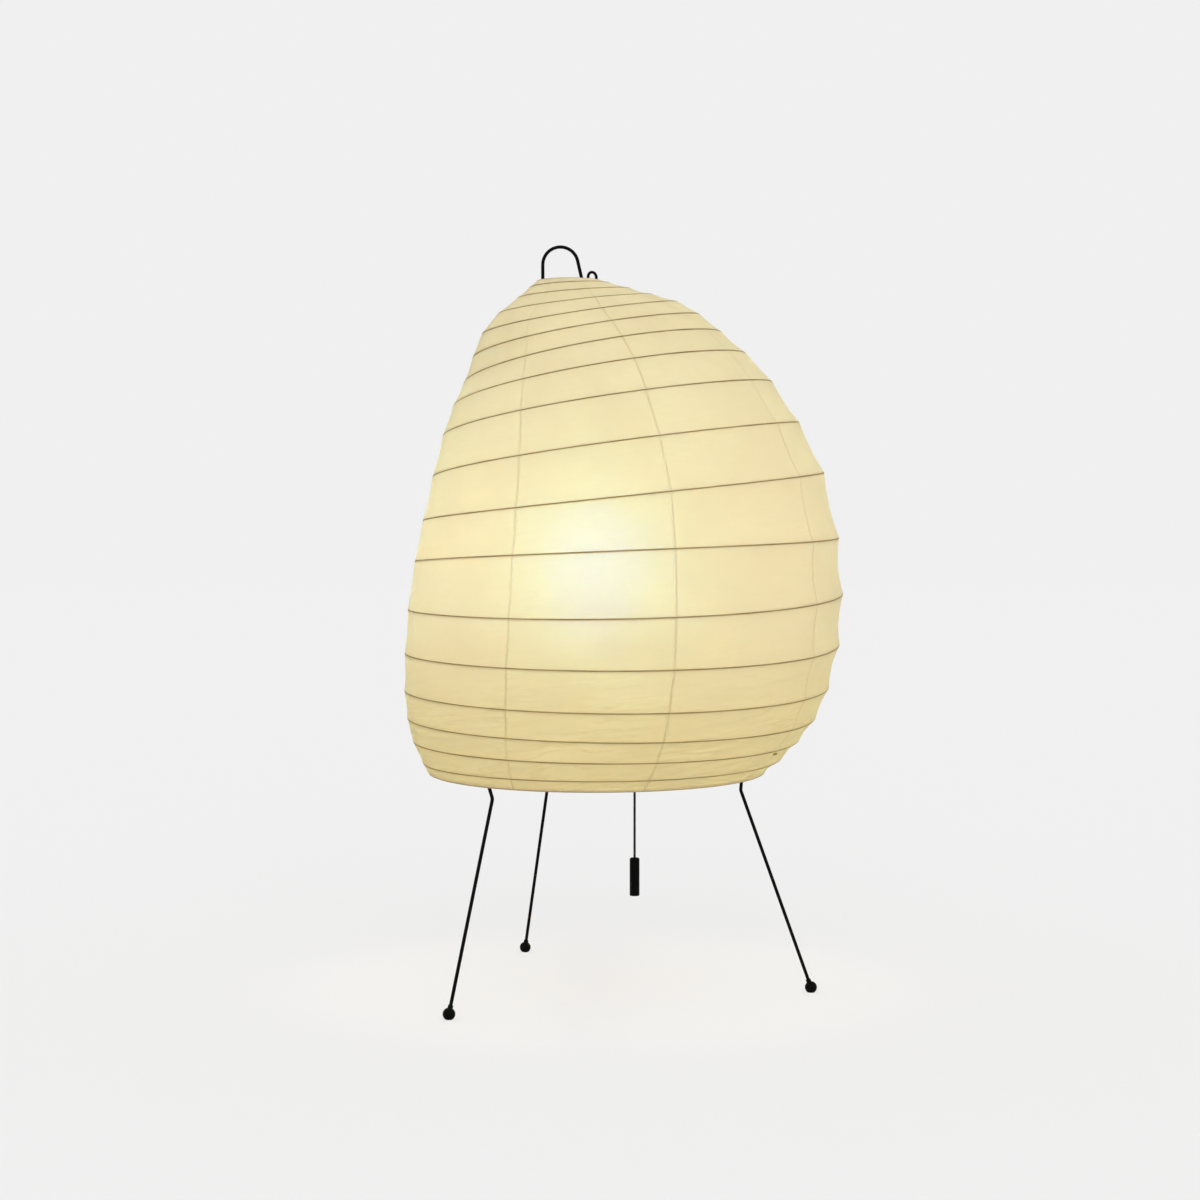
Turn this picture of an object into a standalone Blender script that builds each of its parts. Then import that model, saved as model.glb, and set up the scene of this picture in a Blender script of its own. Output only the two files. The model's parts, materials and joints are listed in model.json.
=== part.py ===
"""Rice paper table lamp: a lopsided lantern shade on a bent-wire tripod, with a bulb and a pull switch inside.

Metres, +Z up. The lamp stands on z = 0 and is seen from -Y. The shade, the wires and the lampholder are
modelled about the stand's axis, which the "stand" empty holds left of the middle of the lopsided shade.
"""

import math

import bmesh
import bpy
from mathutils import Matrix, Vector

# Clearance between pieces that touch or are welded, and between pieces that run in each other
GAP = 0.0003

# Where the stand's axis lies, so that the whole lamp is centred on the origin
STAND_X = -0.0162

# Shade: its largest radius, the height of its bottom rim and its own height
SHADE_RADIUS = 0.1270
SHADE_BOTTOM = 0.1264
SHADE_HEIGHT = 0.2882

# One ring of the paper for every two turns of the rib, from the bottom rim to the top rim, as (sideways shift
# and radius as shares of the largest radius, height as a share of the shade's own height, lean to the right in
# degrees, nod of the front in degrees)
SHADE_RINGS = (
    (0.0016, 0.7732, 0.0000, 0.0, -1.9),
    (0.0369, 0.8877, 0.0704, -1.2, -3.2),
    (0.0906, 0.9732, 0.1742, -1.7, -4.0),
    (0.1402, 1.0000, 0.3480, -0.9, -3.6),
    (0.1430, 0.9308, 0.5583, 3.6, -1.4),
    (0.0751, 0.7736, 0.7360, 6.4, 1.0),
    (0.0060, 0.6111, 0.8407, 8.6, 2.1),
    (-0.0543, 0.4610, 0.9268, 7.2, -3.0),
    (-0.0823, 0.2637, 0.9765, 2.9, -4.0),
    (-0.1244, 0.1449, 1.0000, 0.3, -0.6),
)
TURNS_PER_RING = 2
TOP_LEVEL = TURNS_PER_RING * (len(SHADE_RINGS) - 1)
PAPER_THICKNESS = 0.0004
GORES = 8
GORE_COLUMNS = 3
SEAM_GAP = 0.0003
SEAM_DRIFT_LEFT = 0.0172
SEAM_DRIFT_FRONT = 0.0036
SEAM_DRIFT_LOW = 0.0125
SEAM_DRIFT_LEVEL = 8.0
PAPER_SAG_PER_PITCH = 0.035

# Rib: one bamboo spiral inside the paper, starting and ending at a seam behind the lamp; its rise strays once
RIB_RADIUS = 0.00075
RIB_TURNS = 17
RIB_POINTS_PER_TURN = GORES * GORE_COLUMNS
RIB_START_AZIMUTH = math.radians(189.5)
RIB_START_LEVEL = 0.526
RIB_STRAY = 0.15
RIB_STRAY_LEVEL = 7.12
RIB_STRAY_LENGTH = 0.90

# Wire hoops in the two edges of the paper
HOOP_RADIUS = 0.0010
HOOP_INSET_LEVEL = 0.15

# Tripod wires
WIRE_RADIUS = 0.0010
LEG_AZIMUTHS = {"side": 80.9, "front": -39.1, "rear": -159.1}
FOOT_CIRCLE = 0.1265
LEG_KINK_INSIDE_RIM = 0.0102
LEG_KINK_BELOW_RING = 0.0085
LEG_TOP_SPLAY = math.radians(22.0)
LEG_TOP_TWIST = math.radians(-1.7)
INNER_LEG = "side"
INNER_LEG_SPLAY = math.radians(5.0)
LEG_KINK_BEND = 0.0030
LEG_HOOK_BEND = 0.0022
LEG_HOOK_REACH = 0.0005
STAND_RING_BELOW_RIM = 0.0009
STAND_RING_POINTS = 48

# Ball feet
FOOT_RADIUS = 0.0035
FOOT_FLAT = 0.0005
FOOT_NECK_RADIUS = 0.0020
FOOT_NECK_LENGTH = 0.0020

# Stretcher: the tall wire that holds the shade up and ends in the handle loop
HANDLE_LEFT_PLAY = 0.0006
HANDLE_RIGHT_PLAY = 0.0079
HANDLE_RIGHT_LEAN = math.radians(12.9)
HANDLE_ABOVE_RIM = 0.0208
STRETCHER_UPRIGHT = 0.0145
STRETCHER_SHOULDER_BEND = 0.0020
STRETCHER_SHOULDER_REACH = 0.0023
STRETCHER_ELBOW_BEND = 0.0250
STRETCHER_TIP = 0.0015

# Small wire hook over the top hoop
HOOK_RADIUS = 0.00085
HOOK_AZIMUTH = math.radians(130.0)
HOOK_INSIDE = 0.0040
HOOK_TIP_LEVEL = 0.40
HOOK_ABOVE_RIM = 0.0066
HOOK_BEND = 0.0020

# Bar that carries the lampholder
BAR_EDGE = 0.0027
BAR_THICKNESS = 0.0015
BAR_LIP = 0.0030

# Threaded tube, nut, washer and cord gland
NIPPLE_RADIUS = 0.0050
NIPPLE_BORE = 0.0039
NIPPLE_LENGTH = 0.0195
NIPPLE_ABOVE_BAR = 0.0107
NUT_ACROSS_FLATS = 0.0140
NUT_THICKNESS = 0.0040
WASHER_RADIUS = 0.0090
WASHER_THICKNESS = 0.0012
GLAND_FLANGE_RADIUS = 0.0075
GLAND_FLANGE_THICKNESS = 0.0026
GLAND_SPIGOT = 0.0058
GLAND_BORE = 0.0031

# Lampholder
SOCKET_RADIUS = 0.0185
SOCKET_WALL = 0.0018
CAP_HEIGHT = 0.0300
CAP_WALL = 0.0035
CAP_FOOT_RADIUS = 0.0130
CAP_SHOULDER_HEIGHT = 0.0080
SHELL_HEIGHT = 0.0377
SHELL_NECK_HEIGHT = 0.0120
SHELL_NECK_STEP = 0.0012
RING_WALL = 0.0039
RING_HEIGHT = 0.0060
INSULATOR_HEIGHT = 0.0137
INSULATOR_FLOOR = 0.0087
INSULATOR_BOSS_RADIUS = 0.0060
INSULATOR_BOSS_HEIGHT = 0.0107
INSULATOR_WALL = 0.0021
SCREW_SHELL_WALL = 0.0005
SCREW_SHELL_HEIGHT = 0.0255
CONTACT_LEAF_WIDTH = 0.0050
CONTACT_LEAF_SPAN = 0.0100
CONTACT_LEAF_THICKNESS = 0.0005
CONTACT_LEAF_RISE = 0.0038

# Bulb
BULB_RADIUS = 0.0300
BULB_EQUATOR_HEIGHT = 0.0760
BULB_NECK_PLAY = 0.0004
BULB_GLASS = 0.0009
BULB_NECK_OVERLAP = 0.0110
BULB_CAP_PLAY = 0.0005
BULB_CAP_WALL = 0.0006
BULB_CAP_HEIGHT = 0.0195
BULB_CAP_TAPER = 0.0025
BULB_CAP_MOUTH = 0.0070
BULB_TIP_RADIUS = 0.0045
BULB_TIP_THICKNESS = 0.0012
BULB_TIP_CONE_RADIUS = 0.0092
BULB_TIP_CONE_HEIGHT = 0.0037
STEM_HEIGHT = 0.0360
STEM_FOOT_HEIGHT = 0.0025
STEM_RADIUS = 0.0036
FILAMENT_RADIUS = 0.0005
FILAMENT_SPAN = 0.0180
FILAMENT_HEIGHT = 0.0300
FILAMENT_FOOT_SPAN = 0.0044

# Pull switch on the right side of the lampholder
PULL_TRAVEL = 0.0080
SWITCH_WIDTH = 0.0100
SWITCH_DEPTH = 0.0084
SWITCH_ABOVE_CAP = 0.0039
SWITCH_HEIGHT = 0.0220
SWITCH_FLOOR = 0.0025
SWITCH_CORNER = 0.0020
SWITCH_WALL = 0.0008
SWITCH_COVER = 0.0015
PLUNGER_HEIGHT = 0.0060
SPRING_WIRE_RADIUS = 0.00035
SPRING_RADIUS = 0.0024
SPRING_TURNS = 5
SPRING_POINTS_PER_TURN = 10
PULL_ROD_RADIUS = 0.0008
GUIDE_FLANGE_RADIUS = 0.0030
GUIDE_FLANGE_THICKNESS = 0.0015
GUIDE_SLEEVE_RADIUS = 0.0019
GUIDE_SLEEVE_HEIGHT = 0.0022
ROD_BELOW_GUIDE = 0.0007

# Pull cord and its pull
CORD_RADIUS = 0.0007
CORD_SWING_GAP = 0.0006
CORD_POINTS = 20
CORD_FREE_LENGTH = 0.0552
PULL_RADIUS = 0.0029
PULL_LENGTH = 0.0224
PULL_EDGE = 0.0010
PULL_BORE_DEPTH = 0.0050

# Facets
ROUND_STEPS = 20
BEND_STEP = math.radians(18.0)
BEND_SLACK = 1e-5
WIRE_SIDES_RESOLUTION = 2
RIB_SIDES_RESOLUTION = 1

# Radii that follow from the sizes above
LEG_KINK_CIRCLE = SHADE_RADIUS * SHADE_RINGS[0][1] - LEG_KINK_INSIDE_RIM
BAR_WIDTH = 2 * (NIPPLE_RADIUS + GAP + BAR_EDGE)
SCREW_SHELL_BORE = SOCKET_RADIUS - SOCKET_WALL - INSULATOR_WALL - SCREW_SHELL_WALL - 2 * GAP
BULB_CAP_RADIUS = SCREW_SHELL_BORE - BULB_CAP_PLAY
BULB_NECK_RADIUS = BULB_CAP_RADIUS - BULB_CAP_WALL - BULB_NECK_PLAY

# Heights that follow from the sizes above
SHADE_TOP = SHADE_BOTTOM + SHADE_HEIGHT
HANDLE_TOP = SHADE_TOP + HANDLE_ABOVE_RIM
HOOK_TOP = SHADE_TOP + HOOK_ABOVE_RIM
STAND_RING_HEIGHT = SHADE_BOTTOM - STAND_RING_BELOW_RIM
LEG_KINK_HEIGHT = STAND_RING_HEIGHT - LEG_KINK_BELOW_RING
BAR_BOTTOM = STAND_RING_HEIGHT + WIRE_RADIUS + GAP
BAR_TOP = BAR_BOTTOM + BAR_THICKNESS
WASHER_BOTTOM = BAR_TOP + GAP
CAP_BOTTOM = WASHER_BOTTOM + WASHER_THICKNESS + GAP
CAP_TOP = CAP_BOTTOM + CAP_HEIGHT
SHELL_BOTTOM = CAP_TOP + GAP
SHELL_TOP = SHELL_BOTTOM + SHELL_HEIGHT
NIPPLE_TOP = BAR_TOP + NIPPLE_ABOVE_BAR
NIPPLE_BOTTOM = NIPPLE_TOP - NIPPLE_LENGTH
LEAF_BOTTOM = SHELL_BOTTOM + INSULATOR_BOSS_HEIGHT + GAP
BULB_TIP = LEAF_BOTTOM + CONTACT_LEAF_RISE + CONTACT_LEAF_THICKNESS + GAP
BULB_CONE_BOTTOM = BULB_TIP + BULB_TIP_THICKNESS + GAP
BULB_CAP_BOTTOM = BULB_CONE_BOTTOM + BULB_TIP_CONE_HEIGHT + GAP
BULB_CAP_TOP = BULB_CAP_BOTTOM + BULB_CAP_HEIGHT
BULB_NECK_BOTTOM = BULB_CAP_TOP - BULB_NECK_OVERLAP
CORD_X = SOCKET_RADIUS + GAP + SWITCH_DEPTH / 2
SWITCH_BASE_HEIGHT = CAP_BOTTOM + SWITCH_ABOVE_CAP
SWITCH_TOP = SWITCH_BASE_HEIGHT + SWITCH_HEIGHT
SWITCH_FLOOR_TOP = SWITCH_BASE_HEIGHT + SWITCH_FLOOR
SWITCH_BORE = SWITCH_DEPTH / 2 - SWITCH_WALL
PLUNGER_BOTTOM = SWITCH_TOP - PLUNGER_HEIGHT
GUIDE_BOTTOM = SWITCH_BASE_HEIGHT - GAP - GUIDE_FLANGE_THICKNESS
ROD_BOTTOM = GUIDE_BOTTOM - ROD_BELOW_GUIDE
CORD_TOP = ROD_BOTTOM - CORD_SWING_GAP
CORD_PIVOT = ROD_BOTTOM - CORD_SWING_GAP / 2
PULL_TOP = CORD_TOP - CORD_FREE_LENGTH


def clear_scene():
    for obj in list(bpy.data.objects):
        bpy.data.objects.remove(obj, do_unlink=True)


def make_material(name, colour, roughness, metallic=0.0):
    material = bpy.data.materials.new(name)
    material.use_nodes = True
    shader = material.node_tree.nodes["Principled BSDF"]
    shader.inputs["Base Color"].default_value = (*colour, 1.0)
    shader.inputs["Roughness"].default_value = roughness
    shader.inputs["Metallic"].default_value = metallic
    return material


def make_materials():
    return {
        "paper": make_material("paper", (0.88, 0.80, 0.62), 0.9),
        "bamboo": make_material("bamboo", (0.56, 0.42, 0.24), 0.7),
        "black_wire": make_material("black_wire", (0.02, 0.02, 0.02), 0.45),
        "black_rubber": make_material("black_rubber", (0.025, 0.025, 0.025), 0.7),
        "zinc": make_material("zinc", (0.62, 0.62, 0.60), 0.4, 1.0),
        "brass": make_material("brass", (0.75, 0.57, 0.27), 0.3, 1.0),
        "nickel": make_material("nickel", (0.70, 0.69, 0.66), 0.25, 1.0),
        "phenolic": make_material("phenolic", (0.05, 0.04, 0.035), 0.4),
        "ceramic": make_material("ceramic", (0.88, 0.87, 0.83), 0.35),
        "frosted_glass": make_material("frosted_glass", (0.95, 0.92, 0.84), 0.5),
        "black_cord": make_material("black_cord", (0.03, 0.03, 0.03), 0.9),
        "black_pull": make_material("black_pull", (0.02, 0.02, 0.02), 0.35),
    }


def empty(name, location, parent=None):
    """A holder for a group of pieces, on the axis that the group turns about or slides along."""
    obj = bpy.data.objects.new(name, None)
    obj.location = location
    obj.parent = parent
    bpy.context.scene.collection.objects.link(obj)
    return obj


def add_object(name, data, material, parent, location=(0.0, 0.0, 0.0)):
    obj = bpy.data.objects.new(name, data)
    obj.parent = parent
    obj.location = location
    if material is not None:
        data.materials.append(material)
    bpy.context.scene.collection.objects.link(obj)
    return obj


def mesh_from(bm, name):
    """A finished mesh with outward faces, smooth except across sharp edges."""
    bmesh.ops.recalc_face_normals(bm, faces=bm.faces)
    mesh = bpy.data.meshes.new(name)
    bm.to_mesh(mesh)
    bm.free()
    mesh.shade_smooth()
    mesh.set_sharp_from_angle(angle=math.radians(35.0))
    return mesh


def turned_mesh(name, profile, steps=ROUND_STEPS):
    """A turned solid about Z: a closed outline of (radius, height), or one that starts and ends on the axis."""
    bm = bmesh.new()
    points = [bm.verts.new((radius, 0.0, height)) for radius, height in profile]
    lines = [bm.edges.new(pair) for pair in zip(points, points[1:])]
    if profile[0][0] > 0 or profile[-1][0] > 0:
        lines.append(bm.edges.new((points[-1], points[0])))
    bmesh.ops.spin(
        bm, geom=points + lines, cent=(0, 0, 0), axis=(0, 0, 1), angle=math.tau, steps=steps, use_merge=True
    )
    bmesh.ops.remove_doubles(bm, verts=bm.verts, dist=1e-6)
    return mesh_from(bm, name)


def turned(name, profile, material, parent, location=(0.0, 0.0, 0.0), steps=ROUND_STEPS):
    return add_object(name, turned_mesh(name, profile, steps), material, parent, location)


def tube_outline(inner, outer, bottom, top):
    return ((outer, top), (outer, bottom), (inner, bottom), (inner, top))


def extruded_mesh(name, outline, depth):
    """A flat outline of 3-D points, extruded along the vector depth."""
    bm = bmesh.new()
    face = bm.faces.new([bm.verts.new(point) for point in outline])
    grown = bmesh.ops.extrude_face_region(bm, geom=[face])["geom"]
    moved = [item for item in grown if isinstance(item, bmesh.types.BMVert)]
    bmesh.ops.translate(bm, verts=moved, vec=depth)
    return mesh_from(bm, name)


def rounded_outline(width, depth, corner, height, steps=4):
    """A rectangle in X (depth) and Y (width) with round corners, at one height."""
    outline = []
    for quarter, (side_x, side_y) in enumerate(((1, 1), (-1, 1), (-1, -1), (1, -1))):
        centre = Vector((side_x * (depth / 2 - corner), side_y * (width / 2 - corner), height))
        for step in range(steps + 1):
            angle = math.pi / 2 * (quarter + step / steps)
            outline.append(centre + corner * Vector((math.cos(angle), math.sin(angle), 0.0)))
    return outline


def cut_away(obj, cutter):
    """Cut one mesh object out of another, and keep the cutter as a hidden helper."""
    cutter.hide_render = True
    cutter.display_type = "WIRE"
    boolean = obj.modifiers.new("cut_" + cutter.name, "BOOLEAN")
    boolean.operation = "DIFFERENCE"
    boolean.solver = "EXACT"
    boolean.object = cutter


def drill(obj, name, radius, bottom, top, location=(0.0, 0.0, 0.0)):
    profile = ((0.0, top), (radius, top), (radius, bottom), (0.0, bottom))
    cut_away(obj, turned(name, profile, None, obj.parent, location))


def round_corners(corners, bends):
    """Points along a bent wire: straight runs between the corners, with an arc of its own radius at each bend."""
    points = [Vector(corners[0])]
    for before, corner, after, bend in zip(corners, corners[1:], corners[2:], bends):
        corner = Vector(corner)
        into = (corner - Vector(before)).normalized()
        out = (Vector(after) - corner).normalized()
        turn = into.angle(out)
        centre = corner + (out - into).normalized() * bend / math.cos(turn / 2)
        spoke = corner - into * bend * math.tan(turn / 2) - centre
        axis = into.cross(out)
        count = max(2, math.ceil(turn / BEND_STEP))
        for step in range(count + 1):
            points.append(centre + Matrix.Rotation(turn * step / count, 3, axis) @ spoke)
    points.append(Vector(corners[-1]))
    return points


def wire(name, points, radius, material, parent, location=(0.0, 0.0, 0.0), resolution=None, closed=False):
    """A round tube along points, with flat ends or closed on itself."""
    curve = bpy.data.curves.new(name, "CURVE")
    curve.dimensions = "3D"
    curve.bevel_depth = radius
    curve.bevel_resolution = WIRE_SIDES_RESOLUTION if resolution is None else resolution
    curve.use_fill_caps = not closed
    spline = curve.splines.new("POLY")
    spline.points.add(len(points) - 1)
    for target, point in zip(spline.points, points):
        target.co = (*point, 1.0)
    spline.use_cyclic_u = closed
    spline.use_smooth = True
    return add_object(name, curve, material, parent, location)


def stand_point(radius, azimuth, height):
    """A point about the stand's axis; azimuth 0 faces the viewer and grows to the right."""
    return Vector((radius * math.sin(azimuth), -radius * math.cos(azimuth), height))


# Shade surface

def shade_ring(level):
    """The ring of the shade at a level counted in turns of the rib, on a smooth curve through SHADE_RINGS."""
    last = len(SHADE_RINGS) - 1
    place = min(max(level / TURNS_PER_RING, 0.0), float(last))
    index = min(int(place), last - 1)
    t = place - index
    before, start, end, after = (SHADE_RINGS[min(max(index + k, 0), last)] for k in (-1, 0, 1, 2))
    values = []
    for b, s, e, a in zip(before, start, end, after):
        slope_in = (e - b) / 2
        slope_out = (a - s) / 2
        smooth = t * t * (3 - 2 * t)
        values.append(s + (e - s) * smooth + slope_in * t * (1 - t) ** 2 - slope_out * t * t * (1 - t))
    shift, radius, height, lean, nod = values
    return shift * SHADE_RADIUS, radius * SHADE_RADIUS, SHADE_BOTTOM + height * SHADE_HEIGHT, lean, nod


def shade_point(level, azimuth):
    """A point on the smooth outside of the shade."""
    shift, radius, height, lean, nod = shade_ring(level)
    lean = math.radians(lean)
    nod = math.radians(nod)
    side = radius * math.sin(azimuth)
    front = radius * math.cos(azimuth)
    lift = side * math.sin(lean) + front * math.sin(nod)
    return Vector((shift + side * math.cos(lean), -front * math.cos(nod), height + lift))


def shade_normal(level, azimuth):
    step = 0.01
    low = max(level - step, 0.0)
    high = min(level + step, float(TOP_LEVEL))
    along = shade_point(level, azimuth + step) - shade_point(level, azimuth - step)
    up = shade_point(high, azimuth) - shade_point(low, azimuth)
    return along.cross(up).normalized()


def inside_shade(level, azimuth, depth):
    """A point at a depth under the outside of the shade."""
    return shade_point(level, azimuth) - depth * shade_normal(level, azimuth)


def hoop_point(level, azimuth):
    """Centre of a hoop's wire against the inside of the paper."""
    return inside_shade(level, azimuth, PAPER_THICKNESS + GAP + HOOP_RADIUS)


def rib_level(turns):
    """Level of the rib after a number of turns."""
    level = RIB_START_LEVEL + turns
    share = (level - RIB_STRAY_LEVEL) / RIB_STRAY_LENGTH
    if abs(share) < 0.5:
        level -= RIB_STRAY * math.sin(math.tau * share)
    return level


def drifted(turn, level):
    """The share of a turn at which an upright line of the paper passes a level, a little off its even place."""
    left = SEAM_DRIFT_LEFT * math.sin(math.tau * turn) ** 2 if turn < 0.5 else 0.0
    share = min(level / SEAM_DRIFT_LEVEL, 1.0)
    low = SEAM_DRIFT_LOW * (1.0 - share * share * (3.0 - 2.0 * share))
    return turn + left + (SEAM_DRIFT_FRONT + low) * math.sin(math.pi * turn) ** 2


def paper_levels(turn):
    """(level, azimuth, sag) up one line of the paper, where turn is the share of a turn from the rib's start.

    The line meets the rib once a turn, and between two meetings the paper sags in a little.
    """
    meets = [(0.0, drifted(turn, 0.0))]
    for k in range(RIB_TURNS):
        place = drifted(turn, RIB_START_LEVEL + turn + k)
        meets.append((rib_level(place + k), place))
    meets.append((float(TOP_LEVEL), drifted(turn, TOP_LEVEL)))
    meets = [(level, RIB_START_AZIMUTH + place * math.tau) for level, place in meets]
    levels = [(*meets[0], 0.0)]
    for (low, first), (high, second) in zip(meets, meets[1:]):
        pitch = (shade_point(high, second) - shade_point(low, first)).length
        levels += [((low + high) / 2, (first + second) / 2, PAPER_SAG_PER_PITCH * pitch), (high, second, 0.0)]
    return levels


def make_gores(paper, parent):
    for gore in range(GORES):
        bm = bmesh.new()
        columns = []
        for column in range(GORE_COLUMNS + 1):
            turn = (gore + column / GORE_COLUMNS) / GORES
            inset = {0: SEAM_GAP / 2, GORE_COLUMNS: -SEAM_GAP / 2}.get(column, 0.0)
            line = []
            for level, azimuth, sag in paper_levels(turn):
                at = azimuth + inset / shade_ring(level)[1]
                line.append(bm.verts.new(inside_shade(level, at, sag)))
            columns.append(line)
        for left, right in zip(columns, columns[1:]):
            for row in range(len(left) - 1):
                bm.faces.new((left[row], right[row], right[row + 1], left[row + 1]))
        name = f"paper_gore_{gore + 1}"
        mesh = bpy.data.meshes.new(name)
        bm.to_mesh(mesh)
        bm.free()
        mesh.shade_smooth()
        sheet = add_object(name, mesh, paper, parent)
        solidify = sheet.modifiers.new("thickness", "SOLIDIFY")
        solidify.thickness = PAPER_THICKNESS
        solidify.offset = -1.0


def make_rib(bamboo, parent):
    depth = PAPER_THICKNESS + GAP + RIB_RADIUS
    points = []
    for step in range(RIB_TURNS * RIB_POINTS_PER_TURN + 1):
        lap, spot = divmod(step, RIB_POINTS_PER_TURN)
        share = spot / RIB_POINTS_PER_TURN
        turn = lap + drifted(share, RIB_START_LEVEL + lap + share)
        points.append(inside_shade(rib_level(turn), RIB_START_AZIMUTH + turn * math.tau, depth))
    wire("rib_spiral", points, RIB_RADIUS, bamboo, parent, resolution=RIB_SIDES_RESOLUTION)
    apart = RIB_POINTS_PER_TURN // 2
    least = min(
        (first - second).length
        for index, first in enumerate(points)
        for second in points[index + apart : index + 3 * apart]
    )
    print(f"rib_spiral: least gap to itself {1000 * (least - 2 * RIB_RADIUS):.2f} mm")


def make_hoops(metal, parent):
    for name, level in (("shade_bottom_ring", HOOP_INSET_LEVEL), ("shade_top_ring", TOP_LEVEL - HOOP_INSET_LEVEL)):
        turns = [drifted(k / RIB_POINTS_PER_TURN, level) for k in range(RIB_POINTS_PER_TURN)]
        points = [hoop_point(level, RIB_START_AZIMUTH + math.tau * turn) for turn in turns]
        wire(name, points, HOOP_RADIUS, metal, parent, resolution=RIB_SIDES_RESOLUTION, closed=True)


# Stand

def leg_top_circle(height):
    """Radius at which the upper run of a leg outside the stand ring passes a height."""
    return LEG_KINK_CIRCLE + (height - LEG_KINK_HEIGHT) * math.tan(LEG_TOP_SPLAY)


def stand_ring_circle():
    """Radius of the stand ring, which lies against the inner side of two legs."""
    return leg_top_circle(STAND_RING_HEIGHT) - (2 * WIRE_RADIUS + GAP) / math.cos(LEG_TOP_SPLAY)


def inner_leg_circle(height):
    """Radius at which the upper run of the leg inside the stand ring passes a height."""
    beside_ring = stand_ring_circle() - (2 * WIRE_RADIUS + GAP) / math.cos(INNER_LEG_SPLAY)
    return beside_ring + (height - STAND_RING_HEIGHT) * math.tan(INNER_LEG_SPLAY)


def make_stand(materials, parent):
    for name, degrees in LEG_AZIMUTHS.items():
        azimuth = math.radians(degrees) + LEG_TOP_TWIST
        upper_circle = inner_leg_circle if name == INNER_LEG else leg_top_circle
        foot = stand_point(FOOT_CIRCLE, math.radians(degrees), FOOT_RADIUS - FOOT_FLAT)
        kink = stand_point(upper_circle(LEG_KINK_HEIGHT), azimuth, LEG_KINK_HEIGHT)
        up_leg = (kink - foot).normalized()
        hoop = hoop_point(HOOP_INSET_LEVEL, azimuth)
        hook_height = hoop.z + HOOP_RADIUS + GAP + WIRE_RADIUS
        bend = stand_point(upper_circle(hook_height), azimuth, hook_height)
        tip = stand_point(hoop.xy.length + LEG_HOOK_REACH, azimuth, hook_height)
        points = round_corners((foot + GAP * up_leg, kink, bend, tip), (LEG_KINK_BEND, LEG_HOOK_BEND))
        wire("leg_" + name, points, WIRE_RADIUS, materials["black_wire"], parent)
        make_foot("foot_" + name, foot, up_leg, materials["black_rubber"], parent)
    circle = stand_ring_circle()
    spots = [math.tau * k / STAND_RING_POINTS for k in range(STAND_RING_POINTS)]
    ring = [stand_point(circle, azimuth, STAND_RING_HEIGHT) for azimuth in spots]
    wire("stand_ring", ring, WIRE_RADIUS, materials["black_wire"], parent, resolution=1, closed=True)


def make_foot(name, centre, up_leg, rubber, parent):
    """A ball with a short neck that takes the wire's end, standing on a small flat."""
    rise = math.asin(FOOT_NECK_RADIUS / FOOT_RADIUS)
    ball_steps = 8
    angles = [math.pi + (rise - math.pi) * k / ball_steps for k in range(ball_steps + 1)]
    ball = [(FOOT_RADIUS * math.sin(angle), FOOT_RADIUS * math.cos(angle)) for angle in angles]
    ball[0] = (0.0, -FOOT_RADIUS)
    neck_top = FOOT_RADIUS * math.cos(rise) + FOOT_NECK_LENGTH
    bore = WIRE_RADIUS + GAP
    profile = ball + [(FOOT_NECK_RADIUS, neck_top), (bore, neck_top), (bore, 0.0), (0.0, 0.0)]
    foot = turned(name, profile, rubber, parent, centre)
    foot.rotation_mode = "QUATERNION"
    foot.rotation_quaternion = Vector((0, 0, 1)).rotation_difference(up_leg)
    ground = ((0.0, 0.0), (2 * FOOT_RADIUS, 0.0), (2 * FOOT_RADIUS, -FOOT_RADIUS), (0.0, -FOOT_RADIUS))
    cut_away(foot, turned(name + "_ground", ground, None, parent, (centre.x, centre.y, 0.0)))


def make_stretcher(black, parent):
    """A tall wire hooked under both sides of the stand ring, with shoulders under the top hoop and a loop above."""
    circle = stand_ring_circle()
    hook = 2 * WIRE_RADIUS + GAP
    bottom = STAND_RING_HEIGHT - hook
    top = HANDLE_TOP - WIRE_RADIUS
    tip = STAND_RING_HEIGHT + STRETCHER_TIP
    elbow = STAND_RING_HEIGHT + STRETCHER_UPRIGHT
    sides = []
    for side, play, lean in ((-1, HANDLE_LEFT_PLAY, 0.0), (1, HANDLE_RIGHT_PLAY, HANDLE_RIGHT_LEAN)):
        hoop = hoop_point(TOP_LEVEL - HOOP_INSET_LEVEL, side * math.pi / 2)
        shoulder = hoop.z - HOOP_RADIUS - GAP - WIRE_RADIUS
        handle = hoop.x - side * (HOOP_RADIUS + WIRE_RADIUS + play)
        sides.append(
            [
                (side * (circle + hook), 0.0, tip),
                (side * (circle + hook), 0.0, bottom),
                (side * (circle - hook), 0.0, bottom),
                (side * (circle - hook), 0.0, elbow),
                (hoop.x + side * STRETCHER_SHOULDER_REACH, 0.0, shoulder),
                (handle, 0.0, shoulder),
                (handle - side * (top - shoulder) * math.tan(lean), 0.0, top),
            ]
        )
    left, right = sides
    loop = (right[-1][0] - left[-1][0]) / (1.0 + math.tan((math.pi / 2 - HANDLE_RIGHT_LEAN) / 2)) - BEND_SLACK
    hook_bend = hook - BEND_SLACK
    shoulders = [STRETCHER_SHOULDER_BEND] * 2
    bends = [hook_bend, hook_bend, STRETCHER_ELBOW_BEND] + shoulders + [loop]
    points = round_corners(left + right[::-1], bends + bends[::-1])
    wire("stretcher", points, WIRE_RADIUS, black, parent)


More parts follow.
